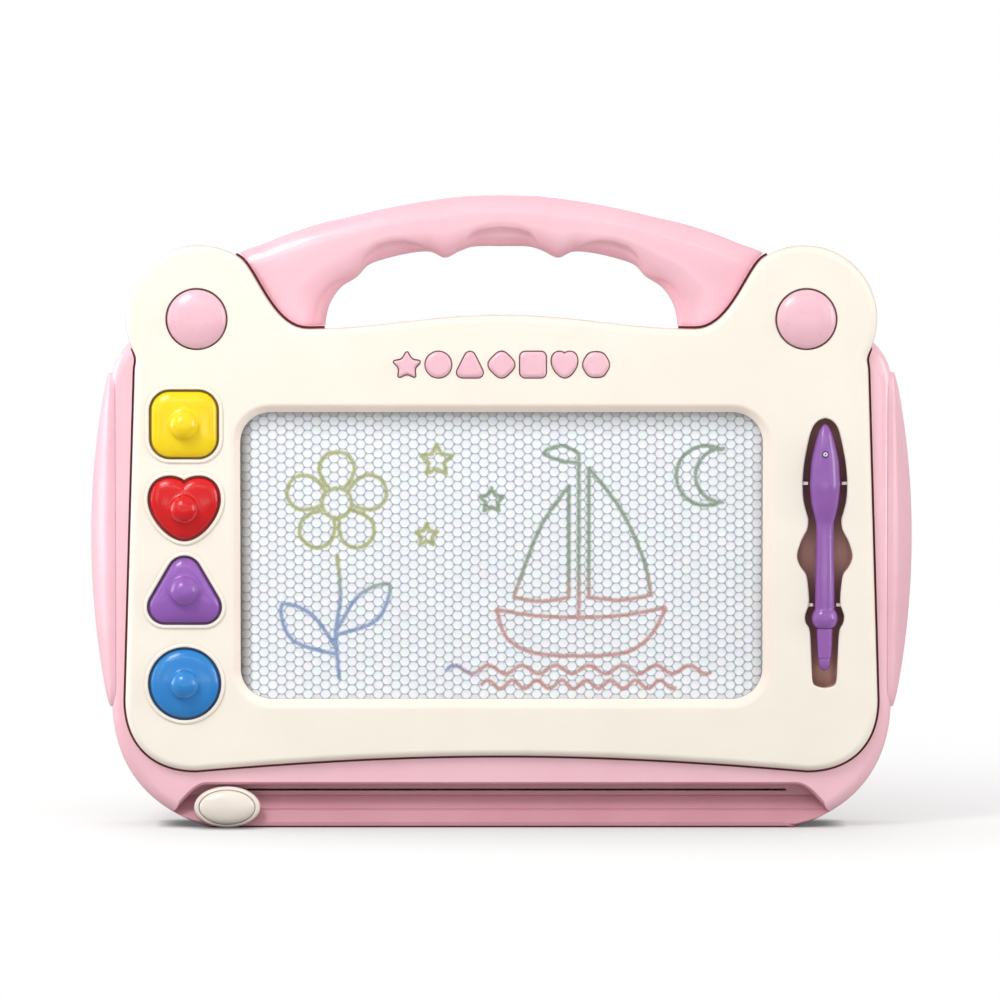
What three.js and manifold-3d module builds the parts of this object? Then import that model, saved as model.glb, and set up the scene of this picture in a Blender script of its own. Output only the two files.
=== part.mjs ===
// A children's magnetic drawing board, standing on its bottom edge. Lengths are in millimetres.
// X runs to the right as seen from the front, Y runs to the back and Z runs up.
// The origin lies on the floor, under the base of the front housing.
import * as THREE from 'three';
import { mergeVertices } from 'three/addons/utils/BufferGeometryUtils.js';
import Module from 'manifold-3d';

const wasm = await Module();
wasm.setup();

// Fits and walls that several pieces share
const seatGap = 0.3; // between two pieces that rest or press on each other
const slideGap = 0.4; // around a piece that runs in a guide
const runGap = 1; // between the sweeping eraser and what it passes
const weld = 0.001; // points nearer than this are one point
const overrun = 1; // how far a cutting body passes the faces that it cuts
const wall = 2.2; // thickness of the two pink shells
const mitreShare = 0.5; // least part of a step that a sharp corner's mitre is worked out from

// Window, and the cream fascia around it
const windowWidth = 209.2;
const windowHeight = 115.2;
const windowCorner = 12.2;
const windowBevel = 2.6; // width of the sloped edge around the window
const lipDepth = 4.7; // fascia's front face to the back of the window's lip
const lipStep = 1.2; // straight part of the window's edge, behind the slope
const lipMargin = 1.8; // lip behind the sloped edge, which the drawing panel bears on
const columnClear = 1.3; // panel to the wells of the stamps
const columnEdge = 6.9; // wells of the stamps to the fascia's side
const topMargin = 33.4;
const bottomMargin = 22.8;
const sillHeight = 29.2; // floor to the middle of the fascia's bottom edge
const fasciaCrown = 5.6; // rise of the top edge in the middle
const fasciaDip = 6; // drop of the bottom edge towards its corners
const fasciaLean = 4.1; // how far each side leans in at the top
const fasciaProud = 4; // how far the fascia stands out of the housing
const fasciaSkin = 2.4;
const fasciaSkirt = 2.2;
const fasciaRound = 2.5;
const lowerCorner = 28.2;
const sidePull = 8.6;
const earRadius = 29.4;
const earInset = 30; // ear centre to the fascia's side
const earLift = 4; // ear centre above the shoulder
const earStart = 123; // degrees
const earEnd = -26.4; // degrees
const valleyWidth = 43.4; // shoulder to ear centre
const valleyFloorPull = 14.5;
const valleyEarPull = 8;
const topPull = 30;
const shoulderPull = 27.4;
const bottomPull = 50;
const cornerPull = 27.6;
const cornerShare = 0.38;

// Pink body
const bodyRim = 5.6; // pink border beside the fascia
const bodySetback = 4.2; // pink ears and top edge, behind the fascia's edge
const bodyCorner = 22.4;
const frontReach = 14; // origin to the body's front face
const backReach = 16; // origin to the body's rear face
const partingReach = 2; // origin to the joint between the two shells
const frontRound = 2.5;
const rearRound = 3;
const baseInset = 38.2; // side of the body to the end of the flat base
const baseCornerHeight = 51.4;
const baseCornerShares = [[1, 0.44], [0.586, 0.136]];
const backRecess = 0.8;
const backRecessMargin = 26;

// Handle: outer and inner edge, as shares of its half span and of its rise
const handleInset = 14.6; // ear centre to the end of the handle
const handleRise = 53.4;
const handleDepth = 22;
const handleShares = [
  [0, 1, 0, 0.607],
  [0.113, 0.995, 0.1, 0.604],
  [0.17, 0.986, 0.155, 0.572],
  [0.235, 0.97, 0.213, 0.52],
  [0.3, 0.952, 0.268, 0.564],
  [0.385, 0.923, 0.335, 0.558],
  [0.48, 0.884, 0.42, 0.522],
  [0.58, 0.836, 0.5, 0.468],
  [0.68, 0.79, 0.545, 0.378],
  [0.79, 0.722, 0.605, 0.3],
  [0.9, 0.636, 0.645, 0.19],
  [1, 0.543, 0.662, 0.08],
  [1.03, 0.3, 0.667, -0.04],
  [1, 0, 0.667, -0.16],
];
const handleSquareness = 0.8;

// Tray along the bottom, in which the eraser's knob runs
const trayTop = 17.2;
const trayDepth = 9; // front face to the back wall of the tray
const trayBackHeight = 5;
const trayRampDepth = 4;
const trayRampHeight = 5.6;
const trayBandSetback = 1.5; // front face to the band along the bottom
const trayBandHeight = 6;
const trayEndWidth = 14;
const trayEndDrop = 11.2;
const trayEndShares = [[0.4, 0.02], [0.63, 0.59]];
const trayWall = 2;
const slotHeight = 2.2;
const slotLift = 1; // slot above the foot of the back wall

// Eraser: knob, cap, carriage and magnet
const knobWidth = 26.5;
const knobHeight = 16.4;
const knobLift = 0.3; // knob above the floor
const knobThick = 3.6;
const knobRound = 1.2;
const knobStandoff = 0.6; // knob to the band behind it
const knobEndRoom = 8.1; // end of the flat base to the middle of the parked knob
const capWidth = 22.3;
const capHeight = 13.7;
const capRise = 3;
const capSeatDepth = 1.8;
const stemWidth = 8;
const stemBossRadius = 3.2;
const stemBossLength = 4;
const stemBossRise = 3; // boss above the knob's centre
const barWidth = 14;
const barDepth = 4.4;
const footDepth = 3.5;
const footHeight = 8;
const headHeight = 10;
const headDepth = 8;
const railDepth = 8.4;
const railThick = 1.6;
const railClear = 1.3;
const magnetWidth = 8;
const magnetDepth = 2.4;
const magnetLength = 112;

// Drawing panel: two films, honeycomb core, and the frame that clamps them
const panelLap = 4; // panel beyond the window's edge
const filmThick = 0.4;
const coreThick = 1.6;
const filmGap = 0.1;
const retainerThick = 2.2;
const retainerLap = 4.2; // frame beyond the middle of its screws
const retainerScrewReach = 8.2; // window edge to the screws
const retainerScrewInset = 34.6; // side of the window to these screws
const retainerBossRadius = 3.4;
const fasciaScrewInset = 8.6; // side of the window to the screws that hold the fascia
const fasciaScrewDrop = 19; // window bottom to the lower screws
const fasciaScrewRise = 21.8; // window top to the upper screws
const fasciaBossRadius = 2.8;

// Ear caps
const earCapRadius = 11.8;
const earCapGap = 0.4;
const earCapRise = 4;
const earCapShift = 1; // outwards from the ear's centre
const earCapWall = 1.6;
const earPegRadius = 2;
const earPegLength = 2;

// Strip of raised shapes above the window
const insertProud = 1.2;
const insertSize = 10.4;
const insertPitch = 12.6;
const insertRise = 19.2; // window top to the middle of the shapes
const insertMargin = 1.8;
const insertGap = 0.35;
const insertEdge = 0.6; // slope around the top of each shape
const insertCornerShare = 0.2;
const starWaistShare = 0.5;

// Stamps in their wells
const stampSquareSize = 27.2;
const stampSquareCorner = 8;
const stampHeartWidth = 28.5;
const stampHeartHeight = 25.5;
const stampTriangleWidth = 29.2;
const stampTriangleHeight = 27;
const stampTriangleCorner = 6.8;
const stampCircleSize = 28.5;
const stampShares = [0.959, 0.666, 0.382, 0.056];
const stampProud = 3.6;
const stampCrown = 4;
const stampKnobRadius = 5.8;
const stampKnobSink = 0.4; // ball centre below the crown
const wellDepth = 5;
const wellGap = 0.6;
const wellRim = 1.8;
const wellRimRise = 0.8;
const wellSkin = 1.4;
const stampMagnetThick = 1.6;
const stampMagnetShare = 0.6;
const crownShares = [[0, 0], [0.1, 0.55], [0.32, 0.88], [0.6, 1]];
const heartShares = [
  [0, 0.56],
  [0.1, 1.2],
  [1.04, 1.2],
  [1, 0.22],
  [0.96, -0.45],
  [0.32, -1],
  [0, -1],
];

// Pen, as shares of its length from the top and of its largest radius
const penLength = 99.2;
const penRadius = 6.15;
const penRise = 3.4; // middle of the pen above the middle of the window
const penOutset = 2.5; // pen further out than the stamps on the other side
const penSink = 1; // pen axis behind the fascia's front face
const penHoleRadius = 1;
const penHoleShare = 0.121;
const penBoreRadius = 2.3;
const penBoreDepth = 12;
const penSpigotRadius = 2;
const penMagnetRadius = 1.2;
const penMagnetLength = 7;
const barrelShares = [
  [0, 0],
  [0.016, 0.23],
  [0.032, 0.39],
  [0.073, 0.62],
  [0.113, 0.78],
  [0.153, 0.91],
  [0.194, 0.96],
  [0.254, 1],
  [0.315, 0.91],
  [0.347, 0.81],
  [0.379, 0.68],
  [0.411, 0.585],
  [0.516, 0.585],
  [0.597, 0.62],
  [0.746, 0.65],
  [0.762, 0.8],
  [0.782, 0.845],
  [0.802, 0.8],
  [0.827, 0.62],
];
const noseShares = [[0.827, 0.53], [0.879, 0.5], [0.944, 0.44]];
const tipShares = [[0.944, 0.4], [0.976, 0.36], [0.992, 0.2], [1, 0]];

// Pen well, as shares of its length from the top and of its half width
const penWellHeadRoom = 1.6;
const penWellFootRoom = 6.8;
const fingerRoom = 4.85;
const pocketClear = 0.65;
const pocketWall = 1.8;
const pocketSetback = 0.6; // pocket walls outside the fascia's cut-out
const nubHeight = 1.2;
const nubGap = 0.6;
const nubShares = [0.24, 0.732];
const cradleThick = 1.6;
const cradleShares = [0.46, 0.87];
const penWellShares = [
  [0, 0],
  [0.007, 0.255],
  [0.045, 0.455],
  [0.082, 0.58],
  [0.119, 0.673],
  [0.156, 0.745],
  [0.212, 0.8],
  [0.268, 0.8],
  [0.305, 0.764],
  [0.342, 0.673],
  [0.372, 0.6],
  [0.405, 0.636],
  [0.428, 0.74],
  [0.454, 0.87],
  [0.498, 1],
  [0.528, 0.97],
  [0.554, 0.83],
  [0.58, 0.66],
  [0.639, 0.582],
  [0.684, 0.565],
  [0.706, 0.63],
  [0.732, 0.709],
  [0.758, 0.67],
  [0.788, 0.53],
  [0.9, 0.473],
  [0.974, 0.436],
  [0.993, 0.3],
  [1, 0],
];

// Grips on the two sides
const gripTop = 183;
const gripBottom = 48.6;
const gripBulge = 8.8;
const gripEnd = 1.6; // thickness at the two ends
const gripFront = 10; // origin to the grip's front edge
const gripBack = 12; // origin to the grip's rear edge
const gripLand = 1.3; // narrow front face beside the body
const gripSlope = 9;
const gripDraw = 5; // how far the ends draw in from the front and from the rear
const gripDrawPower = 3;

// Screws
const screwHeadRadius = 3.4;
const screwHeadHeight = 2.2;
const screwRadius = 1.3;
const rearScrewLength = 14.4;
const rearScrewSeat = 7; // origin to the seats of the rear screws' heads
const smallHeadRadius = 2.6;
const washerHeadRadius = 3.6; // heads that hold the fascia
const smallHeadHeight = 1.4;
const smallScrewRadius = 1.1;
const retainerScrewLength = 4.6;
const fasciaScrewLength = 3.4;
const sliderScrewLength = 5;
const rearBossRadius = 5;
const frontBossRadius = 3.8;
const bossInset = 6.8; // side of the body to the middle of the bosses
const upperBossDrop = 17.2; // window top to the upper bosses
const sideBossRise = 4; // window bottom to the lower bosses on the sides
const cornerBossInset = 28.4; // side of the body to the bosses in its lower corners
const cornerBossZ = 26;
const handleBossShares = [0.358, 0.738]; // of the handle's half span and of its rise
const handleBossRadius = 3.4;

// Counts of steps and facets
const curveSteps = 5;
const roundSteps = 2;
const handleSteps = 17;
const handleFacets = 12;
const handleCavityFacets = 8;
const facets = 8;
const fineFacets = 18;
const penFacets = 12;
const ballFacets = 14;
const gripSteps = 12;
const starPoints = 5;
const diamondSides = 4;
const hexagonSides = 6;

// Places worked out from the sizes above
const windowBottom = sillHeight + bottomMargin;
const windowTop = windowBottom + windowHeight;
const windowMiddle = (windowBottom + windowTop) / 2;
const shoulderZ = windowTop + topMargin;
const wellHalf = Math.max(stampSquareSize, stampHeartWidth, stampTriangleWidth, stampCircleSize) / 2
  + wellGap + wellRim;
const columnX = windowWidth / 2 + panelLap + columnClear + wellHalf;
const stampX = -columnX;
const penX = columnX + penOutset;
const fasciaHalf = columnX + wellHalf + columnEdge;
const fasciaFront = -frontReach - fasciaProud;
const fasciaBack = -frontReach;
const fasciaInner = fasciaFront + fasciaSkin;
const lipBack = fasciaFront + lipDepth;
const filmFront = lipBack + seatGap;
const coreFront = filmFront + filmThick + filmGap;
const backFilmFront = coreFront + coreThick + filmGap;
const retainerFront = backFilmFront + filmThick + filmGap;
const retainerBack = retainerFront + retainerThick;
const bodyHalf = fasciaHalf + bodyRim;
const bodyInner = -frontReach + wall;
const earX = fasciaHalf - earInset;
const earZ = shoulderZ + earLift;
const shoulderX = earX - valleyWidth;
const handleSpan = earX - handleInset;
const knobPark = bodyHalf - baseInset - knobEndRoom;
const retainerScrewX = windowWidth / 2 - retainerScrewInset;
const fasciaScrewX = windowWidth / 2 - fasciaScrewInset;

// Solids and meshes

// Turns a closed three.js geometry into a solid whose faces point out.
function solid(geometry) {
  const bare = geometry.clone();
  bare.deleteAttribute('normal');
  bare.deleteAttribute('uv');
  const merged = mergeVertices(bare, weld);
  const vertices = merged.attributes.position.array;
  const kept = [];
  const index = merged.index.array;
  for (let i = 0; i < index.length; i += 3) {
    const [a, b, c] = index.slice(i, i + 3);
    if (a !== b && b !== c && c !== a) kept.push(a, b, c);
  }
  const build = (triangles) => new wasm.Manifold(new wasm.Mesh({
    numProp: 3,
    vertProperties: vertices,
    triVerts: new Uint32Array(triangles),
  }));
  const made = build(kept);
  return made.volume() < 0 ? build(kept.reverse()) : made;
}

const point = (x, y) => new THREE.Vector2(x, y);
const joined = (parts) => parts.reduce((sum, part) => sum.add(part));
const cut = (body, tools) => tools.reduce((rest, tool) => rest.subtract(tool), body);

// Skins a row of sections. Each has an outline in its own plane, and a way to place it in space.
function loft(rows) {
  const turn = THREE.ShapeUtils.isClockWise(rows[0].flat);
  const sections = rows.map(({ flat, place }) => ({ flat: turn ? flat.toReversed() : flat, place }));
  const count = sections[0].flat.length;
  const positions = sections.flatMap(({ flat, place }) => flat.flatMap((p) => place(p).toArray()));
  const indices = [];
  for (let s = 0; s < sections.length - 1; s++) {
    for (let i = 0; i < count; i++) {
      const next = (i + 1) % count;
      const low = s * count;
      const high = low + count;
      indices.push(low + i, low + next, high + next, low + i, high + next, high + i);
    }
  }
  const last = (sections.length - 1) * count;
  for (const [a, b, c] of THREE.ShapeUtils.triangulateShape(sections[0].flat, [])) indices.push(a, c, b);
  for (const [a, b, c] of THREE.ShapeUtils.triangulateShape(sections.at(-1).flat, [])) {
    indices.push(last + a, last + b, last + c);
  }
  const geometry = new THREE.BufferGeometry();
  geometry.setAttribute('position', new THREE.Float32BufferAttribute(positions, 3));
  geometry.setIndex(indices);
  return solid(geometry);
}

// Moves every point of an outline inwards by the same distance, or outwards if it is negative.
function inset(outline, distance) {
  const turn = THREE.ShapeUtils.isClockWise(outline) ? -1 : 1;
  return outline.map((p, i) => {
    const before = outline[(i + outline.length - 1) % outline.length];
    const after = outline[(i + 1) % outline.length];
    const into = p.clone().sub(before).normalize();
    const out = after.clone().sub(p).normalize();
    const first = point(-into.y, into.x);
    const second = point(-out.y, out.x);
    const middle = first.clone().add(second).normalize();
    const reach = distance * turn / Math.max(middle.dot(first), mitreShare);
    return p.clone().addScaledVector(middle, reach);
  });
}

// Outlines in the X and Z plane stacked along Y, as pairs of inset and place.
const layered = (outline, layers) => loft(layers.map(([distance, y]) => ({
  flat: distance === 0 ? outline : inset(outline, distance),
  place: (p) => new THREE.Vector3(p.x, y, p.y),
})));

// The same with each layer shrunk towards the outline's own middle, for outlines with a notch.
const stacked = (outline, middle, layers) => loft(layers.map(([share, y]) => ({
  flat: outline.map((p) => p.clone().sub(middle).multiplyScalar(share).add(middle)),
  place: (p) => new THREE.Vector3(p.x, y, p.y),
})));

const plate = (outline, front, back) => layered(outline, [[0, front], [0, back]]);

// Layers of a quarter round that starts at a depth and runs forwards or backwards.
function quarter(round, start, direction) {
  const layers = [];
  for (let i = 0; i <= roundSteps; i++) {
    const angle = (i / roundSteps) * (Math.PI / 2);
    layers.push([round * (1 - Math.cos(angle)), start + direction * round * Math.sin(angle)]);
  }
  return layers;
}

function box(x, y, z) {
  const geometry = new THREE.BoxGeometry(x[1] - x[0], y[1] - y[0], z[1] - z[0]);
  geometry.translate((x[0] + x[1]) / 2, (y[0] + y[1]) / 2, (z[0] + z[1]) / 2);
  return solid(geometry);
}

// A rod along Y, given by its middle, its radius and its two ends.
function rod(x, z, radius, front, back, sides = facets) {
  const geometry = new THREE.CylinderGeometry(radius, radius, back - front, sides);
  geometry.translate(x, (front + back) / 2, z);
  return solid(geometry);
}

// A turned piece on an axis along Y, from pairs of radius and Y.
function turned(profile, x, z, sides = facets) {
  const geometry = new THREE.LatheGeometry(profile.map(([r, y]) => point(r, y)), sides);
  geometry.translate(x, 0, z);
  return solid(geometry);
}

// Outlines

// The points of a path, without those that fall on the point before them.
function pointsOf(path, steps) {
  const points = path.getPoints(steps);
  return points.filter((p, i) => p.distanceTo(points.at(i - 1)) > weld);
}

// Drops the points that lie on the straight line between their neighbours.
function withoutStraight(outline) {
  return outline.filter((p, i) => {
    const before = outline.at(i - 1);
    const after = outline[(i + 1) % outline.length];
    const line = after.clone().sub(before);
    return Math.abs(line.cross(p.clone().sub(before))) > weld * line.length();
  });
}

function mirrored(half) {
  const left = half.slice(1, -1).reverse().map((p) => point(-p.x, p.y));
  return withoutStraight([...half, ...left]);
}

function moved(outline, x, z) {
  return outline.map((p) => point(p.x + x, p.y + z));
}

function roundedRectangle(width, height, corner) {
  const path = new THREE.Path();
  const x = width / 2 - corner;
  const z = height / 2 - corner;
  path.absarc(x, -z, corner, -Math.PI / 2, 0);
  path.absarc(x, z, corner, 0, Math.PI / 2);
  path.absarc(-x, z, corner, Math.PI / 2, Math.PI);
  path.absarc(-x, -z, corner, Math.PI, Math.PI * 1.5);
  return pointsOf(path, roundSteps);
}

// An ellipse or a regular outline, whose first corner lies part of a step above the X axis.
function ellipse(width, height, sides, startShare = 0.5) {
  const points = [];
  for (let i = 0; i < sides; i++) {
    const angle = ((i + startShare) / sides) * Math.PI * 2;
    points.push(point(Math.cos(angle) * width / 2, Math.sin(angle) * height / 2));
  }
  return points;
}

function heart(width, height) {
  const at = heartShares.map(([x, z]) => point(x * width / 2, z * height / 2));
  const path = new THREE.Path();
  path.moveTo(at[0].x, at[0].y);
  path.bezierCurveTo(at[1].x, at[1].y, at[2].x, at[2].y, at[3].x, at[3].y);
  path.bezierCurveTo(at[4].x, at[4].y, at[5].x, at[5].y, at[6].x, at[6].y);
  return mirrored(pointsOf(path, curveSteps));
}

function roundedTriangle(width, height, corner) {
  const x = width / 2 - corner;
  const z = height / 2 - corner;
  const lean = Math.atan2(x, 2 * z);
  const path = new THREE.Path();
  path.absarc(x, -z, corner, -Math.PI / 2, lean);
  path.absarc(0, z, corner, lean, Math.PI - lean);
  path.absarc(-x, -z, corner, Math.PI - lean, Math.PI * 1.5);
  return pointsOf(path, roundSteps);
}

function star(size, points) {
  const outline = [];
  for (let i = 0; i < points * 2; i++) {
    const angle = Math.PI / 2 + (i / points) * Math.PI;
    const radius = (i % 2 ? starWaistShare : 1) * size / 2;
    outline.push(point(Math.cos(angle) * radius, Math.sin(angle) * radius));
  }
  return outline;
}

function fasciaOutline() {
  const start = THREE.MathUtils.degToRad(earStart);
  const end = THREE.MathUtils.degToRad(earEnd);
  const onEar = (angle) => point(earX + earRadius * Math.cos(angle), earZ + earRadius * Math.sin(angle));
  const along = (angle) => point(Math.sin(angle), -Math.cos(angle));
  const first = onEar(start);
  const last = onEar(end);
  const rising = first.clone().addScaledVector(along(start), -valleyEarPull);
  const leaving = last.clone().addScaledVector(along(end), sidePull / 2);
  const sideTopX = fasciaHalf - fasciaLean;
  const sideTopZ = last.y - sidePull;
  const cornerZ = sillHeight - fasciaDip;
  const path = new THREE.Path();
  path.moveTo(0, shoulderZ + fasciaCrown);
  path.bezierCurveTo(topPull, shoulderZ + fasciaCrown, shoulderX - shoulderPull, shoulderZ,
    shoulderX, shoulderZ);
  path.bezierCurveTo(shoulderX + valleyFloorPull, shoulderZ, rising.x, rising.y, first.x, first.y);
  path.absarc(earX, earZ, earRadius, start, end, true);
  path.bezierCurveTo(leaving.x, leaving.y, sideTopX, sideTopZ + sidePull / 2, sideTopX, sideTopZ);
  path.lineTo(fasciaHalf, cornerZ + lowerCorner);
  path.bezierCurveTo(fasciaHalf, cornerZ + lowerCorner * cornerShare,
    fasciaHalf - lowerCorner * cornerShare, cornerZ, fasciaHalf - lowerCorner, cornerZ);
  path.bezierCurveTo(fasciaHalf - lowerCorner - cornerPull, cornerZ + fasciaDip * cornerShare,
    bottomPull, sillHeight, 0, sillHeight);
  return mirrored(pointsOf(path, curveSteps));
}

// The front outline of the pink body without its ears.
function bodyOutline() {
  const topZ = shoulderZ + fasciaCrown - bodySetback;
  const [high, low] = baseCornerShares;
  const path = new THREE.Path();
  path.moveTo(0, topZ);
  path.bezierCurveTo(topPull, topZ, shoulderX - shoulderPull, shoulderZ - bodySetback,
    shoulderX, shoulderZ - bodySetback);
  path.lineTo(bodyHalf - bodyCorner, shoulderZ);
  path.absarc(bodyHalf - bodyCorner, shoulderZ - bodyCorner, bodyCorner, Math.PI / 2, 0, true);
  path.lineTo(bodyHalf, baseCornerHeight);
  path.bezierCurveTo(bodyHalf - baseInset * (1 - high[0]), baseCornerHeight * high[1],
    bodyHalf - baseInset * (1 - low[0]), baseCornerHeight * low[1], bodyHalf - baseInset, 0);
  path.lineTo(0, 0);
  return mirrored(pointsOf(path, curveSteps));
}

// The outline of the tray, seen from the front, running past the floor.
function trayOutline(margin) {
  const endX = bodyHalf - baseInset;
  const top = trayTop + margin;
  const pulls = trayEndShares.map(([x, z]) => point(
    endX + margin + trayEndWidth * x,
    top - trayEndDrop * z,
  ));
  const path = new THREE.Path();
  path.moveTo(0, top);
  path.lineTo(endX + margin, top);
  path.bezierCurveTo(pulls[0].x, pulls[0].y, pulls[1].x, pulls[1].y,
    endX + margin + trayEndWidth, top - trayEndDrop);
  path.lineTo(bodyHalf, top - trayEndDrop);
  path.lineTo(bodyHalf, -overrun);
  path.lineTo(0, -overrun);
  return mirrored(pointsOf(path, curveSteps));
}

// Body shells

const bodyLayers = [
  ...quarter(frontRound, frontRound - frontReach, -1).reverse(),
  ...quarter(rearRound, backReach - rearRound, 1),
];
const cavityLayers = [[0, bodyInner], [0, backReach - wall]];
const bodyEdge = bodyOutline();

function ears(shrink, layers) {
  return [-earX, earX].map((x) => {
    const size = 2 * (earRadius - bodySetback - shrink);
    return layered(moved(ellipse(size, size, fineFacets + facets), x, earZ), layers);
  });
}

// The handle's arch between its outer and inner edges, made smaller all round by a margin.
function handle(margin, sides) {
  const at = ([x, z]) => new THREE.Vector2(x * handleSpan, shoulderZ + z * handleRise);
  const outer = new THREE.SplineCurve(handleShares.map((row) => at(row.slice(0, 2))));
  const inner = new THREE.SplineCurve(handleShares.map((row) => at(row.slice(2, 4))));
  const depth = handleDepth / 2 - margin;
  const ring = [];
  for (let i = 0; i < sides; i++) {
    const angle = (i / sides) * Math.PI * 2;
    const square = (value) => Math.sign(value) * Math.abs(value) ** handleSquareness;
    ring.push(point(square(Math.cos(angle)), square(Math.sin(angle))));
  }
  const sections = [];
  for (let i = -handleSteps; i <= handleSteps; i++) {
    const high = outer.getPoint(Math.abs(i) / handleSteps);
    const low = inner.getPoint(Math.abs(i) / handleSteps);
    const side = i < 0 ? -1 : 1;
    const middle = high.clone().add(low).divideScalar(2);
    const half = high.clone().sub(low).divideScalar(2);
    half.setLength(half.length() - margin);
    sections.push({
      flat: ring,
      place: (p) => new THREE.Vector3(
        side * (middle.x + half.x * p.x),
        partingReach + depth * p.y,
        middle.y + half.y * p.x,
      ),
    });
  }
  return loft(sections);
}

const bodyOuter = joined([layered(bodyEdge, bodyLayers), ...ears(0, bodyLayers), handle(0, handleFacets)]);
const bodyCavity = joined([
  layered(inset(bodyEdge, wall), cavityLayers),
  ...ears(wall, cavityLayers),
  handle(wall, handleCavityFacets),
]);
const farX = [-bodyHalf - overrun, bodyHalf + overrun];
const farZ = [-overrun, shoulderZ + handleRise + overrun];
const frontHalf = box(farX, [-frontReach - overrun, partingReach - seatGap / 2], farZ);
const rearHalf = box(farX, [partingReach + seatGap / 2, backReach + overrun], farZ);

// Places of the screws that join the two shells
const bodyScrews = [-1, 1].flatMap((side) => [
  { x: side * (bodyHalf - bossInset), z: windowTop - upperBossDrop, radius: frontBossRadius },
  { x: side * (bodyHalf - bossInset), z: windowBottom + sideBossRise, radius: frontBossRadius },
  { x: side * (bodyHalf - cornerBossInset), z: cornerBossZ, radius: frontBossRadius },
  {
    x: side * handleBossShares[0] * handleSpan,
    z: shoulderZ + handleBossShares[1] * handleRise,
    radius: handleBossRadius,
    handle: true,
  },
]);
const retainerScrews = [-1, 1].flatMap((side) => [
  { x: side * retainerScrewX, z: windowTop + retainerScrewReach },
  { x: side * retainerScrewX, z: windowBottom - retainerScrewReach },
]);
const fasciaScrews = [-1, 1].flatMap((side) => [
  { x: side * fasciaScrewX, z: windowTop + fasciaScrewRise },
  { x: side * fasciaScrewX, z: windowBottom - fasciaScrewDrop },
]);
const pilot = screwRadius + seatGap;
const smallPilot = smallScrewRadius + seatGap;

// Pen and its well

const penAxisY = fasciaFront + penSink;
const penTop = windowMiddle + penRise + penLength / 2;
const penWellTop = penTop + penWellHeadRoom;
const penWellLength = penLength + penWellHeadRoom + penWellFootRoom;
const penWellHalf = penRadius + fingerRoom;
const pocketFloor = penAxisY + penRadius + pocketClear;
const pocketBack = pocketFloor + pocketWall;
const penHeight = (share) => penTop - share * penLength;

function penRadiusAt(share) {
  const next = barrelShares.findIndex(([s]) => s > share);
  if (next < 0) return noseShares[1][1] * penRadius;
  const [s0, r0] = barrelShares[next - 1];
  const [s1, r1] = barrelShares[next];
  return penRadius * (r0 + ((share - s0) / (s1 - s0)) * (r1 - r0));
}

function wellHalfAt(share) {
  const next = penWellShares.findIndex(([s]) => s > share);
  const [s0, h0] = penWellShares[next - 1];
  const [s1, h1] = penWellShares[next];
  return penWellHalf * (h0 + ((share - s0) / (s1 - s0)) * (h1 - h0));
}

function penWellOutline(margin) {
  const side = penWellShares.map(([s, h]) => point(h * penWellHalf, penWellTop - s * penWellLength));
  return inset(moved(mirrored(side), penX, 0), -margin);
}

// A turned piece of the pen, from profile pairs of radius and height.
function penTurned(profile, sides = penFacets) {
  const geometry = new THREE.LatheGeometry(profile.map(([r, z]) => point(r, z)), sides);
  geometry.rotateX(Math.PI / 2);
  geometry.translate(penX, penAxisY, 0);
  return solid(geometry);
}

const penProfile = (shares) => shares.map(([s, r]) => [r * penRadius, penHeight(s)]);

function penBarrel() {
  const foot = penHeight(barrelShares.at(-1)[0]);
  const bore = [[penBoreRadius, foot], [penBoreRadius, foot + penBoreDepth], [0, foot + penBoreDepth]];
  const barrel = penTurned([...penProfile(barrelShares), ...bore]);
  const eye = rod(penX, penHeight(penHoleShare), penHoleRadius,
    penAxisY - penRadius - overrun, penAxisY + penRadius + overrun, facets);
  return barrel.subtract(eye);
}

function penNose() {
  const profile = penProfile(noseShares);
  const top = profile[0][1] - seatGap;
  const foot = profile.at(-1)[1];
  const bore = penMagnetRadius + seatGap;
  const spigotTop = profile[0][1] + penBoreDepth - seatGap;
  return penTurned([
    [0, spigotTop],
    [penSpigotRadius, spigotTop],
    [penSpigotRadius, top],
    [profile[0][0], top],
    ...profile.slice(1),
    [bore, foot],
    [bore, foot + penMagnetLength + seatGap],
    [0, foot + penMagnetLength + seatGap],
  ]);
}

function penTip() {
  const [edge, ...rest] = penProfile(tipShares);
  return penTurned([[0, edge[1] - seatGap], [edge[0], edge[1] - seatGap], ...rest]);
}

function penMagnet() {
  const foot = penHeight(tipShares[0][0]);
  return penTurned([
    [0, foot + penMagnetLength],
    [penMagnetRadius, foot + penMagnetLength],
    [penMagnetRadius, foot],
    [0, foot],
  ]);
}

// Stamps

const stamps = [
  {
    name: 'square',
    outline: roundedRectangle(stampSquareSize, stampSquareSize, stampSquareCorner),
    half: stampSquareSize / 2,
  },
  { name: 'heart', outline: heart(stampHeartWidth, stampHeartHeight), half: stampHeartHeight / 2 },
  {
    name: 'triangle',
    outline: roundedTriangle(stampTriangleWidth, stampTriangleHeight, stampTriangleCorner),
    half: stampTriangleHeight / 2,
  },
  {
    name: 'circle',
    outline: ellipse(stampCircleSize, stampCircleSize, fineFacets),
    half: stampCircleSize / 2,
  },
].map((stamp, i) => {
  const z = windowBottom + windowHeight * stampShares[i];
  return { ...stamp, z, middle: point(stampX, z), outline: moved(stamp.outline, stampX, z) };
});
const wellFloor = fasciaFront + wellDepth;
const stampBack = wellFloor - seatGap;
const stampFront = fasciaFront - stampProud;

// Layers that keep one outline between two depths, grown by a distance all round.
function grown(stamp, distance, front, back) {
  const share = 1 + distance / stamp.half;
  return stacked(stamp.outline, stamp.middle, [[share, front], [share, back]]);
}

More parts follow.
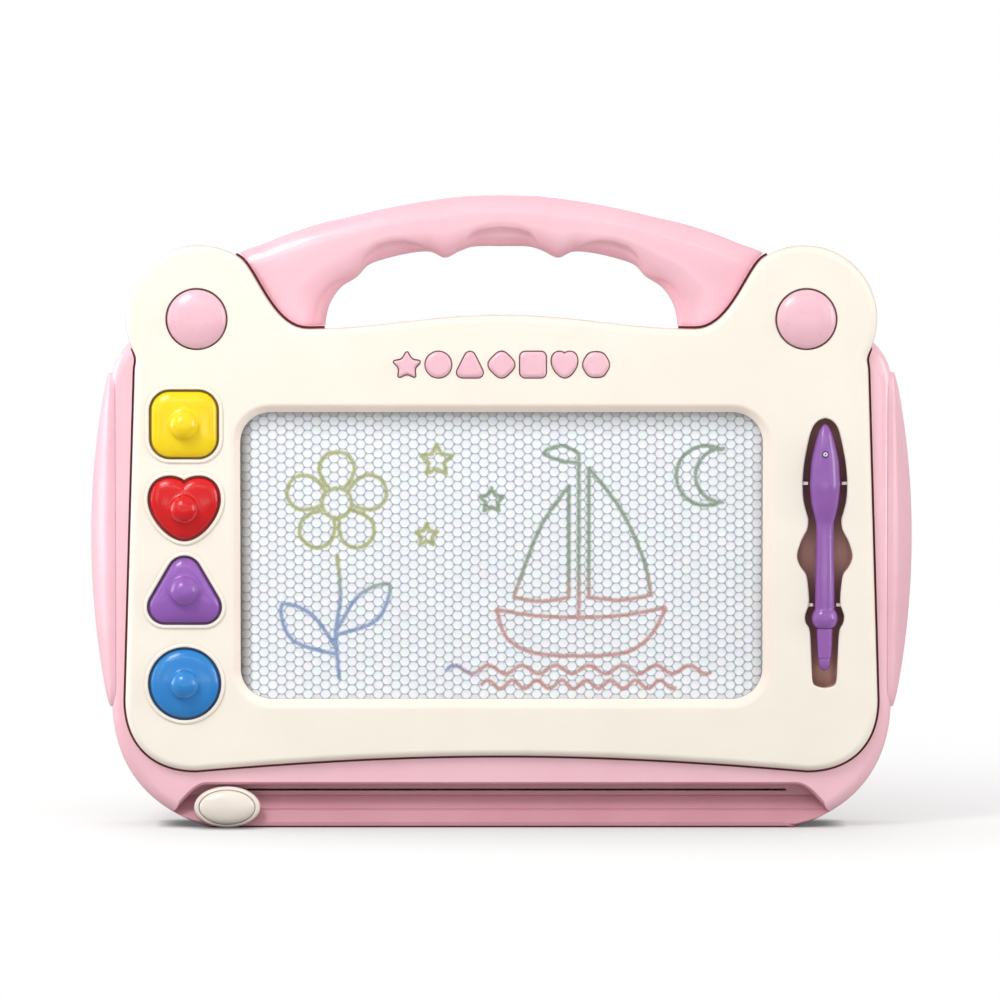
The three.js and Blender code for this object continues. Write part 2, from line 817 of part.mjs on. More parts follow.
function stampBody(stamp) {
  const crownBack = stampFront + stampCrown;
  const layers = crownShares.map(([away, rise]) => [1 - away, crownBack - rise * stampCrown]);
  const body = stacked(stamp.outline, stamp.middle, [[1, stampBack], ...layers]);
  const ballY = stampFront + stampKnobSink;
  const profile = [];
  for (let i = 0; i <= curveSteps; i++) {
    const angle = (i / curveSteps) * (Math.PI / 2);
    profile.push([stampKnobRadius * Math.sin(angle), ballY - stampKnobRadius * Math.cos(angle)]);
  }
  const ball = turned([...profile, [stampKnobRadius, ballY + seatGap], [0, ballY + seatGap]],
    stampX, stamp.z, ballFacets);
  const pocketShare = stampMagnetShare + seatGap / stamp.half;
  const pocket = stacked(stamp.outline, stamp.middle, [
    [pocketShare, stampBack - stampMagnetThick - seatGap * 2],
    [pocketShare, stampBack + overrun],
  ]);
  return body.add(ball).subtract(pocket);
}

function stampMagnet(stamp) {
  return stacked(stamp.outline, stamp.middle, [
    [stampMagnetShare, stampBack - stampMagnetThick - seatGap],
    [stampMagnetShare, stampBack - seatGap],
  ]);
}

// Strip of raised shapes above the window

const insertZ = windowTop + insertRise;
const insertShapes = [
  (size) => star(size, starPoints),
  (size) => ellipse(size, size, fineFacets),
  (size) => roundedTriangle(size, size, size * insertCornerShare),
  (size) => ellipse(size, size, diamondSides, 0),
  (size) => roundedRectangle(size, size, size * insertCornerShare),
  (size) => heart(size, size),
  (size) => ellipse(size, size, hexagonSides, 0),
].map((shape, i, all) => ({
  outline: (margin) => {
    const x = (i - (all.length - 1) / 2) * insertPitch;
    return moved(shape(insertSize + 2 * margin), x, insertZ);
  },
}));
const insertFront = fasciaInner + seatGap;
const insertBack = fasciaBack - seatGap;

function shapeInsert() {
  const width = insertShapes.length * insertPitch + insertMargin;
  const strip = moved(roundedRectangle(width, insertSize + 2 * insertMargin, insertMargin), 0, insertZ);
  const studs = insertShapes.map(({ outline }) => layered(outline(0), [
    [insertEdge, fasciaFront - insertProud],
    [0, fasciaFront - insertProud / 2],
    [0, insertFront + seatGap],
  ]));
  return joined([plate(strip, insertFront, insertBack), ...studs]);
}

// Fascia

const fasciaEdge = fasciaOutline();
const earCapX = earX + earCapShift;

const windowShape = (margin) => moved(
  roundedRectangle(windowWidth + 2 * margin, windowHeight + 2 * margin, windowCorner + margin),
  0,
  windowMiddle,
);

function frontFascia() {
  const bossEnd = retainerFront - seatGap;
  const body = layered(fasciaEdge, [
    [0, fasciaBack],
    ...quarter(fasciaRound, fasciaFront + fasciaRound, -1),
  ]);
  const hollow = plate(inset(fasciaEdge, fasciaSkirt), fasciaInner, fasciaBack + overrun);
  const added = [
    plate(windowShape(windowBevel + lipMargin), fasciaInner - seatGap, lipBack),
    plate(penWellOutline(lipMargin), fasciaInner - seatGap, fasciaBack),
    ...stamps.flatMap((stamp) => [
      grown(stamp, wellGap + wellSkin, fasciaInner - seatGap, wellFloor + wellSkin),
      grown(stamp, wellGap + wellRim, fasciaFront - wellRimRise, fasciaInner),
    ]),
    ...[-earCapX, earCapX].map((x) => rod(x, earZ, earCapRadius + earCapGap + earCapWall,
      fasciaInner - seatGap, fasciaBack, fineFacets)),
    ...retainerScrews.map(({ x, z }) => rod(x, z, retainerBossRadius, fasciaInner - seatGap, bossEnd)),
    ...fasciaScrews.map(({ x, z }) => rod(x, z, fasciaBossRadius, fasciaInner - seatGap,
      bodyInner - seatGap)),
  ];
  const removed = [
    layered(windowShape(0), [
      [0, lipBack + overrun],
      [0, lipBack - lipStep],
      [-windowBevel, fasciaFront],
      [-windowBevel - overrun, fasciaFront - overrun],
    ]),
    plate(penWellOutline(0), fasciaFront - overrun, fasciaBack + overrun),
    ...stamps.map((stamp) => grown(stamp, wellGap, fasciaFront - wellRimRise - overrun, wellFloor)),
    ...[-earCapX, earCapX].map((x) => rod(x, earZ, earCapRadius + earCapGap,
      fasciaFront - overrun, fasciaBack + overrun, fineFacets)),
    ...insertShapes.map(({ outline }) => plate(outline(insertGap),
      fasciaFront - overrun, fasciaInner + overrun)),
    ...retainerScrews.map(({ x, z }) => rod(x, z, smallPilot, bossEnd - retainerScrewLength,
      bossEnd + overrun)),
    ...fasciaScrews.map(({ x, z }) => rod(x, z, smallPilot, bodyInner - fasciaScrewLength - seatGap,
      bodyInner + overrun)),
  ];
  return joined([cut(joined([body.subtract(hollow), ...added]), removed), ...penNubs()]);
}

// Nubs on the edge of the cut-out, which hold the pen
function penNubs() {
  return nubShares.flatMap((share) => [-1, 1].map((side) => {
    const z = penHeight(share);
    const edge = wellHalfAt((penWellTop - z) / penWellLength) + lipMargin / 2;
    const tip = penRadiusAt(share) + nubGap;
    const x = [penX + side * tip, penX + side * edge].sort((a, b) => a - b);
    return box(x, [fasciaFront + fasciaRound / 2, fasciaBack], [z - nubHeight / 2, z + nubHeight / 2]);
  }));
}

// Drawing panel

const panelOutline = windowShape(panelLap);
const panelPiece = (front, thick) => plate(panelOutline, front, front + thick);

function panelRetainer() {
  const frame = moved(roundedRectangle(
    windowWidth + 2 * panelLap,
    windowHeight + 2 * (retainerScrewReach + retainerLap),
    windowCorner,
  ), 0, windowMiddle);
  return cut(plate(frame, retainerFront, retainerBack), [
    plate(windowShape(0), retainerFront - overrun, retainerBack + overrun),
    ...retainerScrews.flatMap(({ x, z }) => [
      rod(x, z, smallPilot, retainerFront - overrun, retainerBack + overrun),
      rod(x, z, smallHeadRadius + seatGap, retainerBack - smallHeadHeight, retainerBack + overrun),
    ]),
  ]);
}

// Eraser. It is drawn with its knob parked at the left.

const parkX = -knobPark;
const barFront = Math.max(pocketBack, retainerBack + seatGap) + runGap;
const trayBack = trayDepth - frontReach;
const linerBack = trayBack + trayWall;
const slotBottom = trayTop - trayBackHeight + slotLift;
const footFront = linerBack + slideGap;
const footBack = footFront + footDepth;
const knobZ = knobLift + knobHeight / 2;
const knobBack = trayBandSetback - frontReach - knobStandoff;
const knobFront = knobBack - knobThick;
const capSeat = knobFront + capSeatDepth;
const stemTop = slotBottom + slotHeight - slideGap;
const stemBottom = slotBottom + slideGap;
const stemBossZ = knobZ + stemBossRise;
const stemEnd = knobBack + seatGap;
const openingTop = windowTop + retainerScrewReach + retainerLap;
const openingBottom = windowBottom - retainerScrewReach - retainerLap;
const railBottom = openingTop + railClear;
const railTop = railBottom + railThick;
const barTop = railTop + headHeight / 2;
const barBottom = trayTop + trayWall + runGap;
const across = (width) => [parkX - width / 2, parkX + width / 2];

function eraserCarriage() {
  const bar = box(across(barWidth), [barFront, barFront + barDepth], [barBottom, barTop]);
  const block = box(across(barWidth), [barFront, footBack], [barBottom, barBottom + footHeight]);
  const foot = box(across(barWidth), [footFront, footBack],
    [slotBottom - slideGap, barBottom + footHeight]);
  const head = box(across(barWidth), [barFront, barFront + headDepth], [barTop - headHeight, barTop]);
  const stem = box(across(stemWidth), [stemEnd + stemBossLength / 2, footFront + seatGap],
    [stemBottom, stemTop]);
  const boss = rod(parkX, stemBossZ, stemBossRadius, stemEnd, stemEnd + stemBossLength);
  return cut(joined([bar, block, foot, head, stem, boss]), [
    box([parkX - barWidth / 2 - overrun, parkX + barWidth / 2 + overrun],
      [barFront - overrun, bodyInner + railDepth + seatGap],
      [railBottom - seatGap, railTop + seatGap]),
    box(across(magnetWidth + 2 * seatGap), [barFront - overrun, barFront + magnetDepth + seatGap],
      [windowMiddle - magnetLength / 2 - seatGap, windowMiddle + magnetLength / 2 + seatGap]),
    rod(parkX, stemBossZ, smallPilot, stemEnd - overrun, stemEnd + stemBossLength - smallScrewRadius),
  ]);
}

function eraserMagnet() {
  return box(across(magnetWidth), [barFront, barFront + magnetDepth],
    [windowMiddle - magnetLength / 2, windowMiddle + magnetLength / 2]);
}

function sliderKnob() {
  const edge = moved(ellipse(knobWidth, knobHeight, fineFacets), parkX, knobZ);
  const seat = moved(ellipse(capWidth + 2 * seatGap, capHeight + 2 * seatGap, fineFacets), parkX, knobZ);
  const body = layered(edge, [
    [knobRound / 2, knobBack],
    [0, knobBack - knobRound / 2],
    ...quarter(knobRound, knobFront + knobRound, -1),
  ]);
  return cut(body, [
    plate(seat, knobFront - overrun, capSeat),
    rod(parkX, stemBossZ, smallPilot, knobFront - overrun, knobBack + overrun),
  ]);
}

function sliderCap() {
  const edge = moved(ellipse(capWidth, capHeight, fineFacets), parkX, knobZ);
  const back = capSeat - seatGap;
  const dome = stacked(edge, point(parkX, knobZ), [
    [1, back],
    ...crownShares.map(([away, rise]) => [1 - away, knobFront - rise * capRise]),
  ]);
  const room = smallHeadRadius + seatGap;
  return dome.subtract(rod(parkX, stemBossZ, room, back - smallHeadHeight - seatGap, back + overrun));
}

// Ear caps

function earCap(x) {
  const rim = fasciaFront + earCapGap;
  const back = fasciaBack - seatGap;
  const sphere = (earCapRadius ** 2 + earCapRise ** 2) / (2 * earCapRise);
  const reach = Math.asin(earCapRadius / sphere);
  const dome = (radius, thick) => {
    const profile = [];
    for (let i = 0; i <= curveSteps; i++) {
      const angle = (i / curveSteps) * reach;
      const drop = sphere * (1 - Math.cos(angle));
      profile.push([radius * Math.sin(angle) / Math.sin(reach), rim - earCapRise + drop + thick]);
    }
    return profile;
  };
  const inside = dome(earCapRadius - earCapWall, earCapWall).slice(2).reverse();
  return turned([
    ...dome(earCapRadius, 0),
    [earCapRadius, back],
    [earCapRadius - earCapWall, back],
    ...inside,
    [earPegRadius, inside.at(-1)[1]],
    [earPegRadius, back + earPegLength],
    [0, back + earPegLength],
  ], x, earZ, fineFacets);
}

// Front housing

// A profile in the Y and Z plane drawn out along X.
function drawnAlongX(profile, x) {
  return loft(x.map((at) => ({
    flat: profile,
    place: (p) => new THREE.Vector3(at, p.x, p.y),
  })));
}

function trayVoid() {
  const rampZ = trayTop - trayBackHeight - trayRampHeight;
  const bandY = trayBandSetback - frontReach;
  const front = -frontReach - overrun;
  return drawnAlongX([
    point(front, trayTop),
    point(trayBack, trayTop),
    point(trayBack, trayTop - trayBackHeight),
    point(trayBack - trayRampDepth, rampZ),
    point(bandY, Math.min(trayBandHeight, rampZ)),
    point(bandY, -overrun),
    point(front, -overrun),
  ], farX).intersect(plate(trayOutline(0), front, trayBack + overrun));
}

function trayLiner() {
  const rampZ = trayTop - trayBackHeight - trayRampHeight;
  const front = -frontReach - overrun;
  const profile = [
    point(front, trayTop + trayWall),
    point(linerBack, trayTop + trayWall),
    point(linerBack, trayTop - trayBackHeight - trayWall / 2),
    point(linerBack - trayRampDepth, rampZ - trayWall / 2),
    point(linerBack - trayRampDepth, -overrun),
    point(front, -overrun),
  ];
  return drawnAlongX(profile, farX).intersect(plate(trayOutline(trayWall), front, linerBack + overrun));
}

function frontHousing() {
  const parting = partingReach - seatGap / 2;
  const slotReach = knobPark + stemWidth / 2 + slideGap;
  const openingLeft = stampX - wellHalf - wellGap;
  const openingRight = windowWidth / 2 + panelLap + wellGap;
  const opening = moved(roundedRectangle(
    openingRight - openingLeft,
    openingTop - openingBottom,
    windowCorner,
  ), (openingLeft + openingRight) / 2, windowMiddle);
  const railReach = knobPark + barWidth;
  const cradles = cradleShares.map((share) => {
    const z = penHeight(share);
    const half = wellHalfAt((penWellTop - z) / penWellLength) + pocketSetback + pocketWall / 2;
    const block = box([penX - half, penX + half], [fasciaBack + seatGap, pocketFloor + pocketWall / 2],
      [z - cradleThick / 2, z + cradleThick / 2]);
    const radius = penRadiusAt(share) + seatGap;
    return block.subtract(penTurned([
      [0, z + cradleThick],
      [radius, z + cradleThick],
      [radius, z - cradleThick],
      [0, z - cradleThick],
    ]));
  });
  const shell = bodyOuter.subtract(bodyCavity.subtract(trayLiner())).intersect(frontHalf);
  const added = [
    plate(penWellOutline(pocketSetback + pocketWall), bodyInner - wall / 2, pocketBack),
    box([-railReach, railReach], [bodyInner - wall / 2, bodyInner + railDepth], [railBottom, railTop]),
    ...bodyScrews.map(({ x, z, radius, handle: high }) => rod(x, z, radius,
      (high ? partingReach - handleDepth / 2 : -frontReach) + wall / 2, parting)),
  ];
  const removed = [
    trayVoid(),
    box([-slotReach, slotReach], [trayBack - overrun, linerBack + overrun],
      [slotBottom, slotBottom + slotHeight]),
    plate(penWellOutline(pocketSetback), -frontReach - overrun, pocketFloor),
    plate(opening, -frontReach - overrun, bodyInner + overrun),
    ...bodyScrews.map(({ x, z }) => rod(x, z, pilot, rearScrewSeat - rearScrewLength - seatGap,
      parting + overrun)),
    ...fasciaScrews.map(({ x, z }) => rod(x, z, fasciaBossRadius + seatGap,
      -frontReach - overrun, bodyInner + overrun)),
    ...[-earCapX, earCapX].map((x) => rod(x, earZ, earPegRadius + seatGap,
      -frontReach - overrun, bodyInner + overrun)),
  ];
  return joined([cut(joined([shell, ...added]), removed), ...cradles]);
}

// Rear cover

function rearCover() {
  const parting = partingReach + seatGap / 2;
  const bosses = bodyScrews.map(({ x, z, handle: high }) => rod(x, z,
    high ? handleBossRadius + wall / 2 : rearBossRadius, parting,
    high ? partingReach + handleDepth / 2 - wall / 2 : backReach - wall / 2));
  const recess = moved(roundedRectangle(
    windowWidth + backRecessMargin,
    windowHeight + backRecessMargin,
    windowCorner,
  ), 0, windowMiddle);
  return cut(joined([bodyOuter.subtract(bodyCavity).intersect(rearHalf), ...bosses]), [
    ...bodyScrews.flatMap(({ x, z }) => [
      rod(x, z, screwHeadRadius + seatGap, rearScrewSeat, backReach + overrun),
      rod(x, z, pilot, parting - overrun, rearScrewSeat + overrun),
    ]),
    plate(recess, backReach - backRecess, backReach + overrun),
  ]);
}

// Side grips

function sideGrip(side) {
  const inner = bodyHalf + seatGap;
  const middle = (gripTop + gripBottom) / 2;
  const half = (gripTop - gripBottom) / 2;
  const sections = [];
  for (let i = 0; i <= gripSteps; i++) {
    const along = -Math.cos((i / gripSteps) * Math.PI);
    const z = middle + half * along;
    const swell = 1 - along * along;
    const outer = inner + gripEnd + (gripBulge - gripEnd - seatGap) * swell;
    const draw = (1 - swell) ** gripDrawPower * gripDraw;
    const front = draw - gripFront;
    const back = gripBack - draw;
    const land = Math.min(inner + gripLand, outer);
    sections.push({
      flat: [
        point(inner, front),
        point(land, front),
        point(outer, front + (gripSlope - gripLand) * swell + gripLand),
        point(outer, back - (gripSlope - gripLand) * swell - gripLand),
        point(land, back),
        point(inner, back),
      ],
      place: (p) => new THREE.Vector3(side * p.x, p.y, z),
    });
  }
  return loft(sections);
}

// Screws, with the head towards the front or towards the back

function screw(x, z, seat, direction, headRadius, headHeight, radius, length) {
  return turned([
    [0, seat - direction * headHeight],
    [headRadius, seat - direction * headHeight / 2],
    [headRadius, seat],
    [radius, seat],
    [radius, seat + direction * (length - radius)],
    [0, seat + direction * length],
  ], x, z);
}

// Materials

const plastic = (color, roughness) => new THREE.MeshStandardMaterial({ color, roughness, metalness: 0 });
const cream = plastic(0xf8f3e6, 0.4);
const pink = plastic(0xeeb6c4, 0.35);
const deepPink = plastic(0xd895a6, 0.45);
const yellow = plastic(0xfbe114, 0.2);
const red = plastic(0xe02326, 0.2);
const purple = plastic(0x9969b4, 0.25);
const blue = plastic(0x378dd0, 0.2);
const film = plastic(0xf0f3f7, 0.25);
const core = plastic(0xd8dde4, 0.5);
const grey = plastic(0x8c8c90, 0.6);
const magnet = plastic(0x4a4644, 0.7);
const steel = new THREE.MeshStandardMaterial({ color: 0xb9bcc0, roughness: 0.3, metalness: 1 });

// Assembly

const board = new THREE.Group();
board.name = 'magnetic_drawing_board';

function place(name, piece, material) {
  const made = piece.getMesh();
  const geometry = new THREE.BufferGeometry();
  geometry.setAttribute('position', new THREE.Float32BufferAttribute(made.vertProperties, 3));
  geometry.setIndex(new THREE.Uint32BufferAttribute(made.triVerts, 1));
  geometry.computeVertexNormals();
  const mesh = new THREE.Mesh(geometry, material);
  mesh.name = name;
  board.add(mesh);
}

place('front_fascia', frontFascia(), cream);
place('front_housing', frontHousing(), pink);
place('rear_cover', rearCover(), pink);
place('shape_insert', shapeInsert(), pink);
for (const [name, side] of [['left', -1], ['right', 1]]) {
  place(`side_grip_${name}`, sideGrip(side), deepPink);
  place(`ear_cap_${name}`, earCap(side * earCapX), pink);
}

place('panel_front_film', panelPiece(filmFront, filmThick), film);
place('panel_honeycomb', panelPiece(coreFront, coreThick), core);
place('panel_back_film', panelPiece(backFilmFront, filmThick), film);
place('panel_retainer', panelRetainer(), grey);

place('eraser_carriage', eraserCarriage(), grey);
place('eraser_magnet', eraserMagnet(), magnet);
place('slider_knob', sliderKnob(), cream);
place('slider_cap', sliderCap(), cream);
place('slider_screw', screw(parkX, stemBossZ, capSeat - seatGap, 1,
  smallHeadRadius, smallHeadHeight, smallScrewRadius, sliderScrewLength), steel);

const stampColours = { square: yellow, heart: red, triangle: purple, circle: blue };
for (const stamp of stamps) {
  place(`stamp_${stamp.name}`, stampBody(stamp), stampColours[stamp.name]);
  place(`stamp_${stamp.name}_magnet`, stampMagnet(stamp), magnet);
}

place('pen_barrel', penBarrel(), purple);
place('pen_nose', penNose(), purple);
place('pen_tip', penTip(), purple);
place('pen_magnet', penMagnet(), magnet);

bodyScrews.forEach(({ x, z }, i) => place(`rear_screw_${i + 1}`, screw(x, z, rearScrewSeat + seatGap, -1,
  screwHeadRadius, screwHeadHeight, screwRadius, rearScrewLength), steel));
retainerScrews.forEach(({ x, z }, i) => place(`retainer_screw_${i + 1}`,
  screw(x, z, retainerBack - smallHeadHeight + seatGap, -1,
    smallHeadRadius, smallHeadHeight, smallScrewRadius, retainerScrewLength), steel));
fasciaScrews.forEach(({ x, z }, i) => place(`fascia_screw_${i + 1}`, screw(x, z, bodyInner + seatGap, -1,
  washerHeadRadius, smallHeadHeight, smallScrewRadius, fasciaScrewLength), steel));

export default board;
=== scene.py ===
# %% [markdown]
# # A magnetic drawing board
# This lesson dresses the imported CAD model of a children's drawing board for a studio picture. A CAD
# piece keeps its shape, so every surface that needs a finer form gets a new mesh that stands for it.
# All sizes below are millimetres, and MM turns them into metres.

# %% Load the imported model
from math import acos, atan2, copysign, cos, degrees, dist, hypot, pi, radians, sin, sqrt, tau

import bmesh
import bpy
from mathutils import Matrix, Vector, noise


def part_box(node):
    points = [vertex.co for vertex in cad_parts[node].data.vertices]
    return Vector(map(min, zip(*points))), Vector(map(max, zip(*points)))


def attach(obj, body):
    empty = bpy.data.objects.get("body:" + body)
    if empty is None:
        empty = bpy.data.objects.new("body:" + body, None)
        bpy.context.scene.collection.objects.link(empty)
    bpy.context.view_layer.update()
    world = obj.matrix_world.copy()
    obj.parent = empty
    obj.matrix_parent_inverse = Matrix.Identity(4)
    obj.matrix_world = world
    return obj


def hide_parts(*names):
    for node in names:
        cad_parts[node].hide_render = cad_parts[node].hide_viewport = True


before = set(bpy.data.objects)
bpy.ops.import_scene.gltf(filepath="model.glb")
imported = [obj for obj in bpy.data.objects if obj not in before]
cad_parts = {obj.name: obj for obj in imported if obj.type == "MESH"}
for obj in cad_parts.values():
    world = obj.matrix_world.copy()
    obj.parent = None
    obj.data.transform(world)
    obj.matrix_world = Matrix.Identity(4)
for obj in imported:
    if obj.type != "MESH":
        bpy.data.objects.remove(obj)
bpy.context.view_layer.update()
MM = 0.001

# %% [markdown]
# ## Outlines
# Moulded plastic toys are mostly flat outlines pushed out into depth, with a rounded rim. An outline
# here is a plain list of X and Z pairs. They could be Blender curves, but plain lists are easier to
# grow, shrink and mirror, and the same list can then give the rim, the hollow and the seam around it.

# %% Curves and arcs
def clamp(value):
    return min(max(value, 0), 1)


def quarter(steps):
    """The angles of a quarter turn, its last one too."""
    return [pi / 2 * i / steps for i in range(steps + 1)]


def whole_turn(steps):
    """The angles of a whole turn, without its last one."""
    return [tau * i / steps for i in range(steps)]


def along(a, b, steps):
    """Points on the straight way from a to b, without the first."""
    return [tuple(p + (q - p) * i / steps for p, q in zip(a, b)) for i in range(1, steps + 1)]


def cubic(a, b, c, d, steps):
    """Points along a cubic curve, without its first point."""
    points = []
    for i in range(1, steps + 1):
        t = i / steps
        s = 1 - t
        shares = (s**3, 3 * s * s * t, 3 * s * t * t, t**3)
        points.append(tuple(sum(w * p[k] for w, p in zip(shares, (a, b, c, d))) for k in (0, 1)))
    return points


def arc(x, z, radius, start, end, steps=16):
    """Points along an arc between two angles in degrees."""
    turn = [radians(start + (end - start) * i / steps) for i in range(steps + 1)]
    return [(x + radius * cos(a), z + radius * sin(a)) for a in turn]


def mirrored(half):
    """A whole outline from its right half, which runs from one point at X = 0 to another."""
    return half + [(-x, z) for x, z in reversed(half[1:-1])]


def moved(outline, x, z):
    return [(px + x, pz + z) for px, pz in outline]


def ellipse(width, height, steps=72):
    return [(cos(a) * width / 2, sin(a) * height / 2) for a in whole_turn(steps)]


def rounded_rectangle(width, height, corner, steps=12):
    x, z = width / 2 - corner, height / 2 - corner
    middles = ((x, z, 0), (-x, z, 90), (-x, -z, 180), (x, -z, 270))
    return [p for mx, mz, start in middles for p in arc(mx, mz, corner, start, start + 90, steps)]


print("a quarter circle of radius 10 ends at", [round(v, 3) for v in arc(0, 0, 10, 0, 90)[-1]])

# %% [markdown]
# ## Growing an outline
# A seam, a rim and a bevel all follow the same edge at some distance. Scaling the outline would move
# far points more than near ones, so each point is pushed along the middle of its two neighbouring
# sides instead. Very sharp corners are held back, so that they don't shoot away.

# %% Grow or shrink an outline
SAME_POINT, SHARPEST = 1e-4, 0.5


def grown(outline, distance):
    """The outline pushed outwards all round, or inwards where the distance is negative."""
    if distance == 0:
        return list(outline)
    clean = [p for i, p in enumerate(outline) if dist(p, outline[i - 1]) > SAME_POINT]
    area = sum(a[0] * b[1] - b[0] * a[1] for a, b in zip(clean, clean[1:] + clean[:1]))
    turn = 1 if area > 0 else -1
    result = []
    for i, p in enumerate(clean):
        before = Vector(p) - Vector(clean[i - 1])
        after = Vector(clean[(i + 1) % len(clean)]) - Vector(p)
        first = Vector((before.y, -before.x)).normalized() * turn
        second = Vector((after.y, -after.x)).normalized() * turn
        middle = (first + second).normalized()
        reach = distance / max(middle.dot(first), SHARPEST)
        result.append((p[0] + middle.x * reach, p[1] + middle.y * reach))
    return result


print("a square of 10 grown by 1", grown([(0, 0), (10, 0), (10, 10), (0, 10)], 1))

# %% [markdown]
# ## From outlines to meshes
# One helper turns points and faces into an object, and one skins a row of sections that all have the
# same number of points. Most pieces here are one outline at several depths, which is how a mould
# maker sees them too: walls, then a round, then the face.

# %% Skin sections into a solid
def placed(name, data):
    made = bpy.data.objects.new(name, data)
    bpy.context.scene.collection.objects.link(made)
    return made


def solid(name, points, faces):
    mesh = bpy.data.meshes.new(name)
    mesh.from_pydata([[value * MM for value in p] for p in points], [], faces)
    work = bmesh.new()
    work.from_mesh(mesh)
    bmesh.ops.remove_doubles(work, verts=work.verts, dist=1e-7)
    bmesh.ops.dissolve_degenerate(work, edges=work.edges, dist=1e-7)
    bmesh.ops.recalc_face_normals(work, faces=work.faces)
    work.to_mesh(mesh)
    work.free()
    return placed(name, mesh)


def skin(name, rows):
    """A closed skin over rows of points, with a flat cap at each end."""
    count = len(rows[0])
    last = (len(rows) - 1) * count
    faces = []
    for low in range(0, last, count):
        for i in range(count):
            j = (i + 1) % count
            faces.append((low + i, low + j, low + count + j, low + count + i))
    faces += [tuple(range(count)), tuple(range(last, last + count))]
    return solid(name, [p for row in rows for p in row], faces)


def layered(name, outline, layers):
    """One outline at several depths, given as pairs of growth and Y."""
    clean = grown(outline, 1e-6)
    return skin(name, [[(x, y, z) for x, z in grown(clean, growth)] for growth, y in layers])


def shrunk(name, outline, middle, layers):
    """The same, but each layer is scaled towards a middle point, down to nothing for a crown."""
    cx, cz = middle
    return skin(name, [[(cx + (x - cx) * share, y, cz + (z - cz) * share) for x, z in outline]
                       for share, y in layers])


def rounding(radius, start, direction, steps=7):
    """Layers of a quarter round which starts at a depth and runs towards minus or plus Y."""
    return [(-radius * (1 - cos(a)), start + direction * radius * sin(a)) for a in quarter(steps)]


def eased(gap, ease, face, steps):
    """Layers of a rounded edge, from a wall at a gap out onto the face."""
    return [(gap + ease * (1 - cos(a)), face + ease * (1 - sin(a))) for a in quarter(steps)]


def turned(name, profile, x, z, steps):
    """A piece turned on an axis along Y, from pairs of radius and Y."""
    return skin(name, [[(x + r * cos(a), y, z + r * sin(a)) for a in whole_turn(steps)]
                       for r, y in profile])


def block(name, x, y, z):
    corners = [(x[0], z[0]), (x[1], z[0]), (x[1], z[1]), (x[0], z[1])]
    return layered(name, corners, [(0, y[0]), (0, y[1])])


print("a round of 2 mm in layers", [(round(a, 2), round(b, 2)) for a, b in rounding(2, 0, -1, 3)])

# %% [markdown]
# ## Joining and cutting
# The real board is moulded with wells, a window and a tray. Blender's Boolean modifier makes these
# from plain solids, and its Manifold solver is quick and leaves closed meshes. The modifiers are
# applied at once, so that only clean meshes stay in the file. The second material of a piece goes to
# the faces that a shaded cutter leaves, because deep gaps in a toy gather shadow and dust.

# %% Boolean steps
def bake(piece):
    bpy.context.view_layer.update()
    seen = piece.evaluated_get(bpy.context.evaluated_depsgraph_get())
    mesh = bpy.data.meshes.new_from_object(seen)
    piece.modifiers.clear()
    piece.data = mesh


def carve(piece, tools, operation="DIFFERENCE", finish=0):
    """Cuts or joins tools. The new faces get the piece's material with the number in finish."""
    for tool in tools:
        tool.data.materials.clear()
        for material in piece.data.materials:
            tool.data.materials.append(material)
        for face in tool.data.polygons:
            face.material_index = finish
        step = piece.modifiers.new("Step", "BOOLEAN")
        step.operation = operation
        step.object = tool
        step.solver = "MANIFOLD"
    bake(piece)
    for tool in tools:
        bpy.data.objects.remove(tool)


def cut(piece, outline, layers, finish=0, operation="DIFFERENCE"):
    """One step with one outline at several depths."""
    carve(piece, [layered("tool", outline, layers)], operation, finish)


def bored(piece, outline, gap, floor, face, ease, finish=1):
    """Cuts a hole with shaded walls, then eases its edge in the colour of the face."""
    cut(piece, outline, [(gap, floor), (gap, face - 2)], finish)
    cut(piece, outline, [(gap - 0.1, face + ease + 0.2), *eased(gap, ease, face, 5), (gap + ease, face - 2)])


def dressed(piece, materials):
    """Gives a piece its materials before it is cut, so that the cuts can choose between them."""
    piece.data.materials.clear()
    for material in materials:
        piece.data.materials.append(material)
    return piece


def finished(piece, body, node, sharp=34):
    """Smooth shading with crisp edges, the body that the piece rides on, and its CAD node hidden."""
    piece.data.shade_smooth()
    piece.data.set_sharp_from_angle(angle=radians(sharp))
    even = piece.modifiers.new("Even shading", "WEIGHTED_NORMAL")
    even.keep_sharp = True
    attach(piece, body)
    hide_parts(node)
    print(piece.name, len(piece.data.polygons), "faces")


print("boolean helpers ready")

# %% [markdown]
# ## Moulded plastic
# Every visible piece is injection moulded. Such plastic is never one flat colour: it has a faint orange
# peel, a little cloudiness, gloss that varies with handling, and a darker tone in the corners, which stands
# for dust and also paints the shade that falls there. One material builder gives all of this, and each
# colour sets its own gloss.
# The grain and the clouds are noise in object space, so that they keep their size on any piece.
# The fascia's outer edge and the bevel of its window are the same cream, but the edge turns from the light
# and the bevel faces it, so each gets a tone of its own: painted shade on the edge, painted light on the
# bevel. The seams and gaps are a dark, dull red, which paints the shade in them.

# %% The plastic builder
CLOUD_SCALE, HANDLING_SCALE, PEEL_DEPTH, SHADE_SAMPLES = 38, 90, 0.2, 6


def linear(*display):
    """A display colour from 0 to 255 as the linear colour that shaders use."""
    shares = [value / 255 for value in display]
    return (*(s / 12.92 if s <= 0.04045 else ((s + 0.055) / 1.055) ** 2.4 for s in shares), 1.0)


def fill(tree, node, inputs):
    """Gives each input its plain value, or a link where the value is another node's output."""
    for name, value in inputs.items():
        if isinstance(value, bpy.types.NodeSocket):
            tree.links.new(value, node.inputs[name])
        else:
            node.inputs[name].default_value = value


